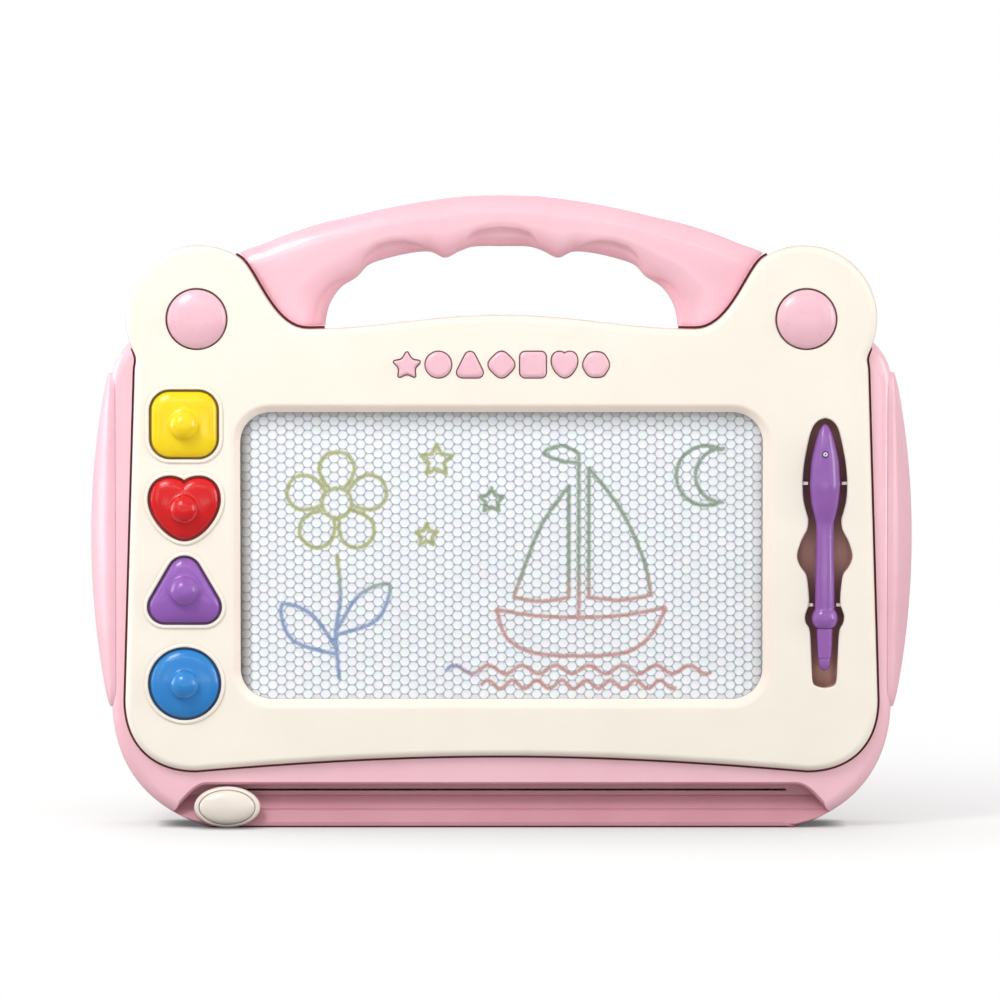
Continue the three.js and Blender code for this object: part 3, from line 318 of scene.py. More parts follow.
def output(tree, kind, inputs=None, out=0, **settings):
    """Makes a shader node and gives back one of its outputs."""
    node = tree.nodes.new("ShaderNode" + kind)
    for name, value in settings.items():
        setattr(node, name, value)
    fill(tree, node, inputs or {})
    return node.outputs[out]


def noise_of(tree, scale, detail, place):
    return output(tree, "TexNoise", {"Scale": scale, "Detail": detail, "Vector": place}, "Fac")


def spread(tree, value, low, high, start=0.3, end=0.7):
    """Turns a value between start and end into one between low and high."""
    return output(tree, "MapRange", {"From Min": start, "From Max": end, "To Min": low, "To Max": high,
                                     "Value": value}, "Result")


def mixed_colour(tree, factor, first, second):
    return output(tree, "Mix", {0: factor, 6: first, 7: second}, 2, data_type="RGBA")


def openness(tree, reach, low, high, darkest=0):
    """A share that falls from 1 towards the darkest where other faces stand within reach."""
    light = output(tree, "AmbientOcclusion", {"Distance": reach * MM}, "AO", samples=SHADE_SAMPLES)
    return spread(tree, light, darkest, 1, low, high)


def blank(name):
    """A new material, its node tree and its main shader."""
    material = bpy.data.materials.new(name)
    material.use_nodes = True
    return material, material.node_tree, material.node_tree.nodes["Principled BSDF"]


def plastic(name, colour, cloud, dust_and_shade, gloss=(0.3, 0.42), grain=(900, 0.05), coat=0.0, reach=3.0,
            shine=0.5, polish=0.1):
    """Moulded plastic: its colour, its cloudy tone, the darker tone of its corners, which is dust and
    painted shade, and its gloss range.
    """
    material, tree, shader = blank(name)
    place = output(tree, "TexCoord", out="Object")
    clouds = spread(tree, noise_of(tree, CLOUD_SCALE, 3, place), 0, 1)
    body = mixed_colour(tree, clouds, linear(*colour), linear(*cloud))
    fill(tree, shader, {
        # The darker tone where other faces stand close is dust, and painted shade in corners and gaps.
        "Base Color": mixed_colour(tree, openness(tree, reach, 0.15, 0.75), linear(*dust_and_shade), body),
        "Roughness": spread(tree, noise_of(tree, HANDLING_SCALE, 4, place), *gloss),
        "Normal": output(tree, "Bump", {"Strength": grain[1], "Distance": PEEL_DEPTH * MM,
                                        "Height": noise_of(tree, grain[0], 2, place)}, "Normal"),
        "Specular IOR Level": shine, "Coat Weight": coat, "Coat Roughness": polish})
    return material


cream = plastic("cream plastic", (249, 242, 229), (246, 238, 224), (206, 178, 160), (0.38, 0.5), shine=0.4)
# A darker cream, painted shade for the fascia's outer edge.
shaded_cream_edge = plastic("edge of the cream plastic", (226, 210, 198), (220, 204, 191), (196, 168, 150),
                     (0.4, 0.5), shine=0.3)
cream_gloss = plastic("glossy cream plastic", (240, 231, 221), (234, 224, 213), (206, 184, 172),
                      (0.26, 0.36), coat=0.15, reach=1.5, shine=0.4, polish=0.2)
pink = plastic("pink plastic", (246, 196, 207), (242, 189, 201), (200, 136, 148), (0.34, 0.44),
               coat=0.5, polish=0.13)
pink_gloss = plastic("glossy pink plastic", (241, 192, 204), (236, 183, 197), (170, 100, 112),
                     (0.24, 0.34), coat=0.25, reach=1.2, polish=0.2)
# A little darker than the body's pink, as painted shade on the side grips.
grip_pink_shade = plastic("grip plastic", (238, 188, 200), (232, 178, 191), (186, 122, 134), (0.4, 0.5),
                    (1400, 0.1), coat=0.45, polish=0.22)
tray_pink = plastic("shaded tray plastic", (204, 146, 158), (198, 139, 151), (200, 141, 153), (0.34, 0.45),
                    (1100, 0.08), reach=4)
shadow_gap = plastic("shadowed gap", (160, 90, 96), (150, 84, 90), (120, 62, 68), (0.7, 0.85), shine=0.2)
# A darker red still, painted shade for the foot of the tray bar and the joints at the handle's feet.
seam_shade = plastic("dark seam", (100, 46, 52), (92, 42, 48), (80, 36, 42), (0.7, 0.85), shine=0.1)
# A lighter cream with lighter corners, painted light for the window's bevel.
lit_bevel_cream = plastic("bevel of the window", (254, 240, 228), (250, 236, 224), (214, 186, 170), (0.4, 0.5),
                      shine=0.3)
# A brownish cream, painted shade for the wall of the pen's well.
pen_well_shade = plastic("wall of the pen well", (214, 186, 166), (206, 178, 158), (120, 82, 78), (0.5, 0.6),
                    reach=4, shine=0.2)
# A brownish pink, painted shade for the floor of the pen's pocket.
pocket_shade = plastic("pen pocket", (216, 172, 160), (206, 162, 150), (132, 86, 88), (0.5, 0.65),
                       (700, 0.15), reach=7, shine=0.2)
print("plastics", [m.name for m in bpy.data.materials])

# %% [markdown]
# ## The colours of the stamps, the pen and the inner pieces
# The stamps and the pen are a polished, saturated plastic with a clear coat of gloss. The ledge around each
# stamp is in its shadow and takes some of its colour, so it gets a tone of its own, which paints that shade
# and the colour thrown back by the stamp. The pieces inside the board are hardly seen, but they show when
# the eraser moves or a stamp is lifted.
# So the magnets get a grainy rubber and the screws a plated metal, from the same kind of noise.

# %% More plastics, rubber and steel
POLISHED = {"gloss": (0.2, 0.28), "reach": 1.2, "shine": 0.3, "polish": 0.16}
yellow = plastic("yellow plastic", (249, 218, 8), (245, 208, 3), (160, 128, 10), coat=0.3, **POLISHED)
red = plastic("red plastic", (216, 14, 20), (203, 9, 16), (104, 8, 12), coat=0.22, **POLISHED)
purple = plastic("purple plastic", (150, 96, 182), (140, 86, 174), (66, 34, 84), coat=0.3, **POLISHED)
blue = plastic("blue plastic", (46, 136, 208), (36, 126, 200), (14, 52, 96), coat=0.3, **POLISHED)
# The wide reach darkens the pen where the well's walls stand close, as painted shade.
pen_purple = plastic("pen plastic", (150, 96, 174), (140, 86, 166), (74, 38, 100), (0.18, 0.28), coat=0.3,
                     reach=4.5, shine=0.3, polish=0.16)
# A pale plastic that lines the string hole, painting the small bright glint seen there.
pale_glint = plastic("pale eyelet plastic", (236, 226, 240), (230, 220, 235), (150, 120, 160), reach=0.6)
# Dark tones of the stamp colours, which paint the shade in each ledge and the colour thrown back by the
# stamp.
ledge_shades = [plastic(f"gap by the {word} stamp", *tones) for word, *tones in (
    ("yellow", (214, 172, 50), (202, 160, 44), (136, 104, 24)),
    ("red", (206, 56, 64), (194, 48, 56), (132, 26, 36)),
    ("purple", (146, 96, 170), (138, 90, 162), (92, 56, 112)),
    ("blue", (60, 116, 178), (54, 108, 170), (32, 68, 114)))]
inner_grey = plastic("inner plastic", (140, 140, 146), (128, 128, 134), (70, 70, 74), (0.5, 0.65),
                     (1500, 0.2))
magnet_rubber = plastic("magnetic rubber", (66, 60, 58), (56, 50, 50), (24, 22, 22), (0.65, 0.85),
                        (2600, 0.5))
steel = plastic("zinc plated steel", (186, 188, 192), (168, 170, 176), (90, 90, 94), (0.24, 0.42),
                (2200, 0.2))
steel.node_tree.nodes["Principled BSDF"].inputs["Metallic"].default_value = 1.0
for node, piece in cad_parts.items():
    finish = steel if "screw" in node else magnet_rubber if "magnet" in node else inner_grey
    dressed(piece, [finish])
print("CAD nodes with a finish", len(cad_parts))

# %% [markdown]
# ## The edge of the fascia
# The fascia is one cream moulding with two round ears, a window, four wells and a cut-out for the
# pen. Its edge is drawn once, from the top middle down the right side to the bottom middle, and then
# mirrored. The numbers are the same sizes that the CAD model has.

# %% The edge of the fascia
FACE_Y, BODY_Y, BACK_Y, PARTING_Y = -18.0, -14.0, 16.0, 2.0
FASCIA_HALF, SILL_Z, SHOULDER_Z, TOP_RISE = 150.8, 29.2, 200.6, 5.6
WINDOW_W, WINDOW_H, WINDOW_CORNER, WINDOW_Z = 209.2, 115.2, 12.2, 109.6
EAR_X, EAR_Z, EAR_R, EAR_START, EAR_END = 120.8, 204.6, 29.4, 123, -26.4
VALLEY_X, CORNER_REACH, CORNER_PULL = 77.4, 28.2, 10.7


def fascia_edge():
    ear = arc(EAR_X, EAR_Z, EAR_R, EAR_START, EAR_END, 44)
    first, last = ear[0], ear[-1]
    rise, leave = radians(EAR_START), radians(EAR_END)
    top, corner_z = SHOULDER_Z + TOP_RISE, SILL_Z - 6
    valley, neck = (VALLEY_X, SHOULDER_Z), (FASCIA_HALF - 4.1, last[1] - 8.6)
    flank, sill = (FASCIA_HALF, corner_z + CORNER_REACH), (FASCIA_HALF - CORNER_REACH, corner_z)
    half = [(0, top), *cubic((0, top), (30, top), (50, SHOULDER_Z), valley, 24)]
    pull = (first[0] - 8 * sin(rise), first[1] + 8 * cos(rise))
    half += cubic(valley, (VALLEY_X + 14.5, SHOULDER_Z), pull, first, 18)
    half += ear[1:]
    pull = (last[0] + 4.3 * sin(leave), last[1] - 4.3 * cos(leave))
    half += cubic(last, pull, (neck[0], neck[1] + 4.3), neck, 8)
    half += along(neck, flank, 12)
    half += cubic(flank, (FASCIA_HALF, corner_z + CORNER_PULL), (FASCIA_HALF - CORNER_PULL, corner_z),
                  sill, 22)
    half += cubic(sill, (FASCIA_HALF - 55.8, corner_z + 2.3), (50, SILL_Z), (0, SILL_Z), 24)
    return mirrored(half)


edge = fascia_edge()
print("fascia edge has", len(edge), "points, width", round(max(p[0] for p in edge) * 2, 1))

# %% [markdown]
# ## The places of the stamps and the pen
# Four stamps sit in wells on the left and the pen lies in its well on the right. Their outlines are
# needed three times: for the stamp, for its raised rim and for the well, so they are drawn first.
# The pen's well narrows and swells along its length, so its half width is a short table, and a
# smooth curve runs through it.

# %% Outlines of the stamps
STAMP_X = -126.9
WELL_GAP, RIM_WIDTH, RIM_RISE, WELL_FLOOR = 0.4, 1.2, 0.8, -13.0
STAMP_SHRINK, LEDGE_Y = 0.48, -16.7


def heart(width, height):
    shares = [(0, 0.86), (0.28, 1.12), (1, 1.1), (1, 0.28), (1, -0.3), (0.42, -1), (0, -1)]
    at = [(x * width / 2, z * height / 2) for x, z in shares]
    return mirrored([at[0], *cubic(*at[:4], 22), *cubic(*at[3:], 22)])


def rounded_triangle(width, height, corner, steps=12):
    x = width / 2 - corner
    z = height / 2 - corner
    lean = degrees(atan2(x, 2 * z))
    return (arc(x, -z, corner, -90, lean, steps) + arc(0, z, corner, lean, 180 - lean, steps)
            + arc(-x, -z, corner, 180 - lean, 270, steps))


stamp_forms = {
    "square": (rounded_rectangle(27.2, 27.2, 8), 162.48, yellow),
    "heart": (heart(28.5, 25.5), 128.72, red),
    "triangle": (rounded_triangle(29.2, 27, 6.8), 96.01, purple),
    "circle": (ellipse(28.5, 28.5), 58.45, blue),
}
stamp_edges = {name: moved(outline, STAMP_X, z) for name, (outline, z, _) in stamp_forms.items()}
for name, (_, z, _) in stamp_forms.items():
    low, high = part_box(f"stamp_{name}")
    print(name, "CAD middle", [round(v, 1) for v in (low + high) / 2 / MM], "drawn at", STAMP_X, z)

# %% Outline of the pen's well
PEN_X, PEN_Y, PEN_TOP, PEN_LENGTH, PEN_R = 129.4, -17.0, 162.6, 99.2, 6.15
PEN_WELL_TOP, PEN_WELL_LENGTH, PEN_WELL_HALF = 164.2, 107.6, 11.0
pen_well_shares = [
    (-0.007, 0), (0, 0.21), (0.018, 0.4), (0.045, 0.52), (0.082, 0.61), (0.119, 0.68), (0.156, 0.745),
    (0.212, 0.8), (0.268, 0.8), (0.305, 0.764), (0.342, 0.673), (0.372, 0.6), (0.405, 0.636),
    (0.428, 0.74), (0.454, 0.87), (0.498, 1), (0.528, 0.97), (0.554, 0.83), (0.58, 0.66),
    (0.639, 0.582), (0.684, 0.565), (0.706, 0.63), (0.732, 0.709), (0.758, 0.67), (0.788, 0.53),
    (0.9, 0.473), (0.974, 0.436), (0.993, 0.3), (1, 0),
]


def through(points, position):
    """A smooth curve through points, at a position counted in points from the first one."""
    i = min(int(position), len(points) - 2)
    t = position - i
    p0, p1, p2, p3 = (points[min(max(k, 0), len(points) - 1)] for k in range(i - 1, i + 3))
    result = []
    for a, b, c, d in zip(p0, p1, p2, p3):
        start, end = (c - a) / 2, (d - b) / 2
        cube = (2 * b - 2 * c + start + end) * t**3
        result.append(cube + (3 * c - 3 * b - 2 * start - end) * t * t + start * t + b)
    return tuple(result)


def smooth(points, fine):
    """The whole curve, with a number of fine steps between two points."""
    return [through(points, i / fine) for i in range(fine * (len(points) - 1) + 1)]


side = [(half * PEN_WELL_HALF, PEN_WELL_TOP - share * PEN_WELL_LENGTH) for share, half in pen_well_shares]
side = smooth(side, 4)
side[0], side[-1] = (0, side[0][1]), (0, side[-1][1])
pen_well = moved(mirrored(side), PEN_X, 0)
print("pen well", len(pen_well), "points")

# %% [markdown]
# ## Shapes above the window
# A strip of raised pink shapes shows through the fascia above the window. They are puffy, as if
# filled with air, so each one is an outline that shrinks in a quarter round towards its top. The
# pointed ones are softened first, because a mould has no knife edges.

# %% Outlines of the raised shapes
SHAPE_SIZE, SHAPE_PITCH, SHAPE_Z, STAR_WAIST, STAR_POINTS = 10.4, 12.6, 186.4, 0.5, 5


def star(size):
    count = STAR_POINTS * 2
    return [(size / 2 * reach * cos(a), size / 2 * reach * sin(a)) for reach, a in
            ((STAR_WAIST if i % 2 else 1, pi / 2 + tau * i / count) for i in range(count))]


def softened(outline):
    """Corners cut three times over, which turns a pointed outline into a soft one."""
    for _ in range(3):
        outline = [(a[0] * s + b[0] * (1 - s), a[1] * s + b[1] * (1 - s))
                   for a, b in zip(outline, outline[1:] + outline[:1]) for s in (0.8, 0.2)]
    return outline


def full_size(outline, size):
    """The outline scaled up until its longer side has the size, and centred on zero."""
    low, high = ([pick(p[k] for p in outline) for k in (0, 1)] for pick in (min, max))
    share = size / max(high[0] - low[0], high[1] - low[1])
    return [((x - (low[0] + high[0]) / 2) * share, (z - (low[1] + high[1]) / 2) * share)
            for x, z in outline]


size, corner = (SHAPE_SIZE, SHAPE_SIZE), SHAPE_SIZE / 5
shape_forms = [
    softened(star(SHAPE_SIZE)), ellipse(*size, 48), rounded_triangle(*size, corner, 6),
    softened(ellipse(*size, 4)), rounded_rectangle(*size, corner, 6), heart(*size),
    softened(ellipse(*size, 6)),
]
shape_places = [((i - 3) * SHAPE_PITCH, SHAPE_Z) for i in range(len(shape_forms))]
shape_edges = [moved(full_size(form, SHAPE_SIZE), *place)
               for form, place in zip(shape_forms, shape_places)]
print("raised shapes", len(shape_edges))

# %% [markdown]
# ## The cream fascia
# The plate gets its rims, then its wells and holes. Each well has a ledge close under the face, in a dark
# tone of its stamp's colour that paints the shade there and the colour thrown back by the stamp, and a cream
# cup below it, which is seen when the stamp is out. The window's bevel is one cutter with sloping steps, in
# a lighter cream that paints light on it, and the pen's cut-out has a brownish wall, painted as the shade in
# the well. Four nubs on the edge of that cut-out hold the pen. They are joined on last, before the smooth
# shading.

# %% Build the fascia
EAR_CAP_X, EAR_CAP_R, EAR_CAP_GAP, HOLE_FLOOR = 121.8, 11.8, 0.55, -13
FIRST_LEDGE, SHADED_EDGE, PEN_WALL, LIT_BEVEL = 2, 6, 7, 8
RIM_Y = FACE_Y - RIM_RISE


def window_outline(growth):
    return moved(rounded_rectangle(WINDOW_W + 2 * growth, WINDOW_H + 2 * growth,
                                   WINDOW_CORNER + growth), 0, WINDOW_Z)


fascia = dressed(layered("fascia", edge, [(0, BODY_Y), *rounding(3, FACE_Y + 3, -1)]),
                 [cream, shadow_gap, *ledge_shades, shaded_cream_edge, pen_well_shade, lit_bevel_cream])
# The outer wall of the fascia takes the darker edge cream, as painted shade.
for face in fascia.data.polygons:
    if face.center.y > (FACE_Y + 1.7) * MM and face.normal.y < 0.5:
        face.material_index = SHADED_EDGE
rim_layers = [(WELL_GAP + RIM_WIDTH, -17), (WELL_GAP + RIM_WIDTH, -18.15), (1.9, -18.45), (1.65, -18.7),
              (1.3, RIM_Y)]
cups = [layered("cup", outline, [(2, -16.5), (2, -11.6)]) for outline in stamp_edges.values()]
rims = [layered("rim", outline, rim_layers) for outline in stamp_edges.values()]
carve(fascia, [*cups, *rims, layered("lip", window_outline(4.4), [(0, -16), (0, -13.3)])], "UNION")
for number, outline in enumerate(stamp_edges.values()):
    inner = 0.05 - STAMP_SHRINK
    cut(fascia, outline, [(inner, WELL_FLOOR), (inner, FACE_Y - 2)])
    bored(fascia, outline, WELL_GAP, LEDGE_Y, RIM_Y, 0.5, finish=FIRST_LEDGE + number)
for x in (-EAR_CAP_X, EAR_CAP_X):
    ear_hole = moved(ellipse(2 * EAR_CAP_R, 2 * EAR_CAP_R), x, EAR_Z)
    bored(fascia, ear_hole, EAR_CAP_GAP, HOLE_FLOOR, FACE_Y, 0.5)
for outline in shape_edges:
    bored(fascia, outline, 0.35, HOLE_FLOOR, FACE_Y, 0.3)
# The bevel's faces take the lighter cream, as painted light.
bevel_layers = [(0, -12), (0, -14.8), (0.2, -15.1), (2.4, -17.4), (2.8, -17.7), (3.3, -17.9),
                (3.9, FACE_Y), (3.9, -20)]
cut(fascia, window_outline(0), bevel_layers, LIT_BEVEL)
bored(fascia, pen_well, 0, HOLE_FLOOR, FACE_Y, 0.7, finish=PEN_WALL)
nubs = []
for share, inner, outer in ((0.24, PEN_R * 0.99 + 0.7, 10.35), (0.732, PEN_R * 0.65 + 0.7, 8.7)):
    nub_z = PEN_TOP - share * PEN_LENGTH
    for way in (-1, 1):
        ends = sorted((PEN_X + way * inner, PEN_X + way * outer))
        nubs.append(block("nub", ends, (-16.8, BODY_Y), (nub_z - 0.6, nub_z + 0.6)))
carve(fascia, nubs, "UNION")
finished(fascia, "board", "front_fascia")

# %% [markdown]
# ## The raised shapes and the ear domes
# The shapes stand on one hidden strip behind the fascia, so that one moulding fills all the holes.
# The domes in the ears are glossy buttons, turned from a profile that is a little flatter than a
# quarter round.

# %% The raised shapes and the ear domes
strip = dressed(layered("shape_strip", moved(rounded_rectangle(90, 14, 1.8), 0, SHAPE_Z),
                        [(0, -15.3), (0, -14.3)]), [pink_gloss])
puffy = [(1, -15), (1, -17.8)]
puffy += [(1 - 0.34 * (1 - cos(a)), -17.8 - 1.4 * sin(a)) for a in quarter(8)]
studs = [shrunk("stud", outline, place, puffy) for outline, place in zip(shape_edges, shape_places)]
carve(strip, studs, "UNION")
finished(strip, "board", "shape_insert", sharp=60)
dome_profile = [(EAR_CAP_R * sin(a), -17.6 - 4 * cos(a) ** 1.1) for a in quarter(14)]
dome_profile += [(EAR_CAP_R, -14.3), (10.2, -14.3)]
for name, way in (("left", -1), ("right", 1)):
    dome = turned(f"ear_dome_{name}", dome_profile, way * EAR_CAP_X, EAR_Z, 64)
    finished(dressed(dome, [pink_gloss]), "board", f"ear_cap_{name}")

# %% [markdown]
# ## The stamps
# Each stamp has a crowned, glossy face and a ball to hold it by. The crown falls off slowly at first
# and steeply at the rim, which is what gives the long highlight along the upper edge. The ball gets
# a small fillet where it leaves the crown.

# %% Stamps
CROWN_Y, CROWN_RISE, BALL_R = -17.9, 3.7, 5.8
ball_profile = [(0, -15), (7.4, -15), (7.4, -21.3), (6.5, -21.55), (6.0, -21.75)]
ball_profile += [(BALL_R * cos(a), -21.9 - 5.1 * sin(a)) for a in quarter(12)]
crown = [(cos(a), CROWN_Y - CROWN_RISE * sqrt(max(0.0, 1 - cos(a) ** 3.2)))
         for a in quarter(14)]
stamp_rows = [(0.93, -13.3), (1, -13.6), (1, -17.6), *crown[:-1], (0, CROWN_Y - CROWN_RISE)]
for name, (_, stamp_z, material) in stamp_forms.items():
    outline = grown(stamp_edges[name], -STAMP_SHRINK)
    body = dressed(shrunk(f"{name}_stamp_body", outline, (STAMP_X, stamp_z), stamp_rows), [material])
    carve(body, [turned("ball", ball_profile, STAMP_X, stamp_z, 48)], "UNION")
    finished(body, f"{name}_stamp", f"stamp_{name}")

# %% [markdown]
# ## The pen
# The pen is one turned shape: a pointed top with a hole for a string, a belly, a slim grip and a collar, and
# then the nose with its tip. A lathe profile is drawn along the length as shares of the largest radius, and
# a smooth curve through the points gives the soft outline. A pale lining in the hole paints the small bright
# glint seen there.

# %% Pen barrel, nose and tip
barrel_shares = [
    (0, 0), (0.002, 0.1), (0.007, 0.2), (0.018, 0.31), (0.036, 0.44), (0.073, 0.62), (0.113, 0.78),
    (0.153, 0.91), (0.194, 0.96), (0.254, 1), (0.315, 0.91), (0.347, 0.81), (0.379, 0.68),
    (0.411, 0.585), (0.516, 0.585), (0.597, 0.62), (0.7, 0.645), (0.742, 0.645), (0.75, 0.66),
    (0.756, 0.72), (0.765, 0.79), (0.775, 0.835), (0.785, 0.85), (0.795, 0.835), (0.805, 0.79),
    (0.815, 0.71), (0.822, 0.61), (0.8265, 0.5),
]
nose_shares = [(0.827, 0.3), (0.8275, 0.5), (0.832, 0.53), (0.879, 0.5), (0.94, 0.445), (0.944, 0.42),
               (0.9442, 0.3)]
tip_shares = [(0.9465, 0.3), (0.9468, 0.36), (0.95, 0.4), (0.976, 0.36), (0.989, 0.24), (0.997, 0.12),
              (1, 0)]


def lathe(name, shares, fine):
    """A piece turned on the pen's axis, with a few finer steps between the points of its profile."""
    rows = []
    for share, radius in smooth(shares, fine):
        r, z = max(radius, 0) * PEN_R, PEN_TOP - share * PEN_LENGTH
        rows.append([(PEN_X + r * cos(a), PEN_Y + r * sin(a), z) for a in whole_turn(48)])
    return dressed(skin(name, rows), [pen_purple, pale_glint])


EYE_Z = PEN_TOP - 0.121 * PEN_LENGTH
barrel = lathe("pen_body", barrel_shares, 5)
carve(barrel, [turned("eye", [(1.35, -26), (1.35, -21.6), (1.1, -21.2), (1.1, -8)], PEN_X, EYE_Z, 32)])
lining = [(0.3, -21.9), (0.62, -22.25), (0.9, -21.95), (0.9, -21.2), (1.25, -20.9), (1.25, -11.8)]
lining = dressed(turned("lining", lining, PEN_X, EYE_Z, 32), [pen_purple, pale_glint])
carve(lining, [turned("string hole", [(0.3, -24), (0.3, -10)], PEN_X, EYE_Z, 24)])
carve(barrel, [lining], "UNION", finish=1)
finished(barrel, "pen", "pen_barrel")
finished(lathe("pen_point_holder", nose_shares, 3), "pen", "pen_nose")
finished(lathe("pen_point", tip_shares, 3), "pen", "pen_tip")

# %% [markdown]
# ## The outline of the pink shells
# The body is one outline with a rounded front and rear, two ears behind the fascia's ears, and the
# handle. Both shells are cut from the same solid, so that the joint between them fits all round.

# %% Outline of the body
BODY_HALF, BODY_CORNER, BASE_HALF, SETBACK = 156.4, 22.4, 118.2, 4.2


def body_edge():
    shoulder = SHOULDER_Z - SETBACK
    top, valley, flank = (0, SHOULDER_Z + TOP_RISE - SETBACK), (VALLEY_X, shoulder), (BODY_HALF, 51.4)
    half = [top, *cubic(top, (30, top[1]), (50, shoulder), valley, 24)]
    half += arc(BODY_HALF - BODY_CORNER, SHOULDER_Z - BODY_CORNER, BODY_CORNER, 90, 0, 20)
    half += [flank, *cubic(flank, (BODY_HALF, 22.6), (140.6, 7), (BASE_HALF, 0), 26)]
    return mirrored(half + along((BASE_HALF, 0), (0, 0), 8))


shell_edge = body_edge()
print("body edge", len(shell_edge), "points")

# %% [markdown]
# ## The handle
# The handle is an arch with a soft, nearly square section. Its lower edge has hollows for the
# fingers. Seen from the front, each hollow ends in a curved crease, because the fingers press into
# the front of the tube as well. So each section is narrowed below the crease, and the height of the
# crease along the arch comes from a short table.

# %% Skin the handle
HANDLE_SPAN, HANDLE_RISE, HANDLE_DEPTH, ROLL = 106.2, 53.4, 22.0, 0.16
handle_shares = [
    (0, 1, 0, 0.607), (0.113, 0.995, 0.1, 0.604), (0.17, 0.986, 0.155, 0.572),
    (0.235, 0.97, 0.213, 0.52), (0.3, 0.952, 0.268, 0.564), (0.385, 0.923, 0.335, 0.558),
    (0.48, 0.884, 0.42, 0.522), (0.58, 0.836, 0.5, 0.468), (0.68, 0.79, 0.545, 0.378),
    (0.79, 0.722, 0.605, 0.3), (0.9, 0.636, 0.645, 0.19), (1, 0.543, 0.662, 0.08),
    (1.03, 0.3, 0.667, -0.04), (1, 0, 0.667, -0.16),
]
crease_heights = [
    (0, 8.4), (0.5, 7.8), (1, 6), (1.4, 3.6), (1.75, 0.8), (2.1, 0), (3.8, 0), (4.2, 1.4), (4.6, 3.4),
    (5.2, 5.6), (5.8, 6.6), (6.4, 6.2), (6.9, 4.4), (7.4, 2), (7.8, 1), (8.3, 1.6), (8.9, 3.2),
    (9.6, 4.6), (10.5, 5.6), (13, 6.4),
]


def between(table, position):
    for (x0, y0), (x1, y1) in zip(table, table[1:]):
        if position <= x1:
            return y0 + (y1 - y0) * (position - x0) / (x1 - x0)
    return table[-1][1]


def hollowing(height, crease):
    """How far the front is drawn in at a height above the lower edge, from 0 to 1."""
    share = height / crease
    if share >= 1:
        return ROLL * clamp((1.4 - share) / 0.4) ** 2
    roll = ROLL * max(sin(pi * (share - 0.3) / 0.45), 0) if 0.3 < share < 0.75 else 0
    return 1 - (1 - ROLL) * clamp((share - 0.4) / 0.6) ** 2.6 - roll


def signed_power(value, power):
    return copysign(abs(value) ** power, value)


def handle(name, margin=0.0, stations=120, upper=30, lower=16):
    """The arch from foot to foot. A margin makes it thinner, for the room inside it."""
    rows = []
    for i in range(-stations, stations + 1):
        position = abs(i) / stations * (len(handle_shares) - 1)
        ox, oz, ix, iz = through(handle_shares, position)
        way = -1 if i < 0 else 1
        outer = Vector((way * ox * HANDLE_SPAN, SHOULDER_Z + oz * HANDLE_RISE))
        inner = Vector((way * ix * HANDLE_SPAN, SHOULDER_Z + iz * HANDLE_RISE))
        middle, half = (outer + inner) / 2, (outer - inner) / 2
        tall = half.length
        crease = max(between(crease_heights, position), 1.0)
        drawn = 0.36 * min(1, crease / 6) * (1 - 0.62 * clamp((position - 8.6) / 2)) + margin * 0.02
        flat = 0.8 - 0.14 * clamp((position - 7.5) / 2.5)
        turn = acos(signed_power(crease / tall - 1, 1.25))
        angles = [turn * k / upper for k in range(upper)]
        angles += [turn + (pi - turn) * k / lower for k in range(lower + 1)]
        front = []
        for a in angles:
            up = signed_power(cos(a), 0.8)
            out = sin(a) ** flat if 0 < a < pi - 1e-6 else 0.0
            out *= 1 - drawn * hollowing((1 + up) * tall, crease)
            centre = middle + half * (up * (tall - margin) / tall)
            front.append((centre.x, (HANDLE_DEPTH / 2 - margin) * out, centre.y))
        rows.append([(x, PARTING_Y - y, z) for x, y, z in front]
                    + [(x, PARTING_Y + y, z) for x, y, z in reversed(front[1:-1])])
    return skin(name, rows)


print("crease above the middle finger", between(crease_heights, 0), "mm")

# %% [markdown]
# ## The tray
# The eraser's knob runs in a tray along the bottom. The tray is one cutter: a stepped profile drawn
# along X, kept only inside the tray's own outline, whose ends sweep down in a curve. Its plastic is
# the same pink, in a deeper tone, because the overhang above keeps it in shade.

# %% Tray cutters
TRAY_TOP, LIP_ROUND = 17.2, 1.3
tray_profile = [
    (-16, 21), (-5, 21), (-5, 12.3), (-5.5, 12), (-5.35, 11.75), (-8.7, 7.5), (-9.05, 7.3), (-8.95, 7.1),
    (-9.4, 6.75), (-9.3, 6.55), (-12.1, 2.6), (-12.4, 1.9), (-12.5, 1.2), (-12.5, -2), (-16, -2),
]
SHELL_FINISHES = [pink, shadow_gap, tray_pink, pocket_shade, seam_shade]
SHELL, SEAM, TRAY, POCKET, SHADE_STRIP = range(5)


def tray_cut():
    tray = dressed(skin("tray", [[(x, y, z) for y, z in tray_profile] for x in (-160, 160)]), SHELL_FINISHES)
    end = (BASE_HALF, TRAY_TOP)
    half = [(0, TRAY_TOP), *along((0, TRAY_TOP), end, 8)]
    half += cubic(end, (BASE_HALF + 5.6, 16.98), (BASE_HALF + 8.8, 10.6), (BASE_HALF + 14, 6), 16)
    half += [(BODY_HALF + 2, 6), (BODY_HALF + 2, -2), (0, -2)]
    lip = [(0, -4), *eased(0, LIP_ROUND, BODY_Y, 7), (LIP_ROUND, -16)]
    cut(tray, mirrored(half), lip, operation="INTERSECT")
    return tray


print("tray profile", len(tray_profile), "points")

# %% [markdown]
# ## Two shells from one body
# A real shell is a thin wall around an empty room. The body is drawn as a full solid first, a
# smaller copy of it is taken out of the middle, and the rest is split where the two mouldings meet.
# A gap of 0.3 mm between the halves shows as the fine joint that runs around the board.

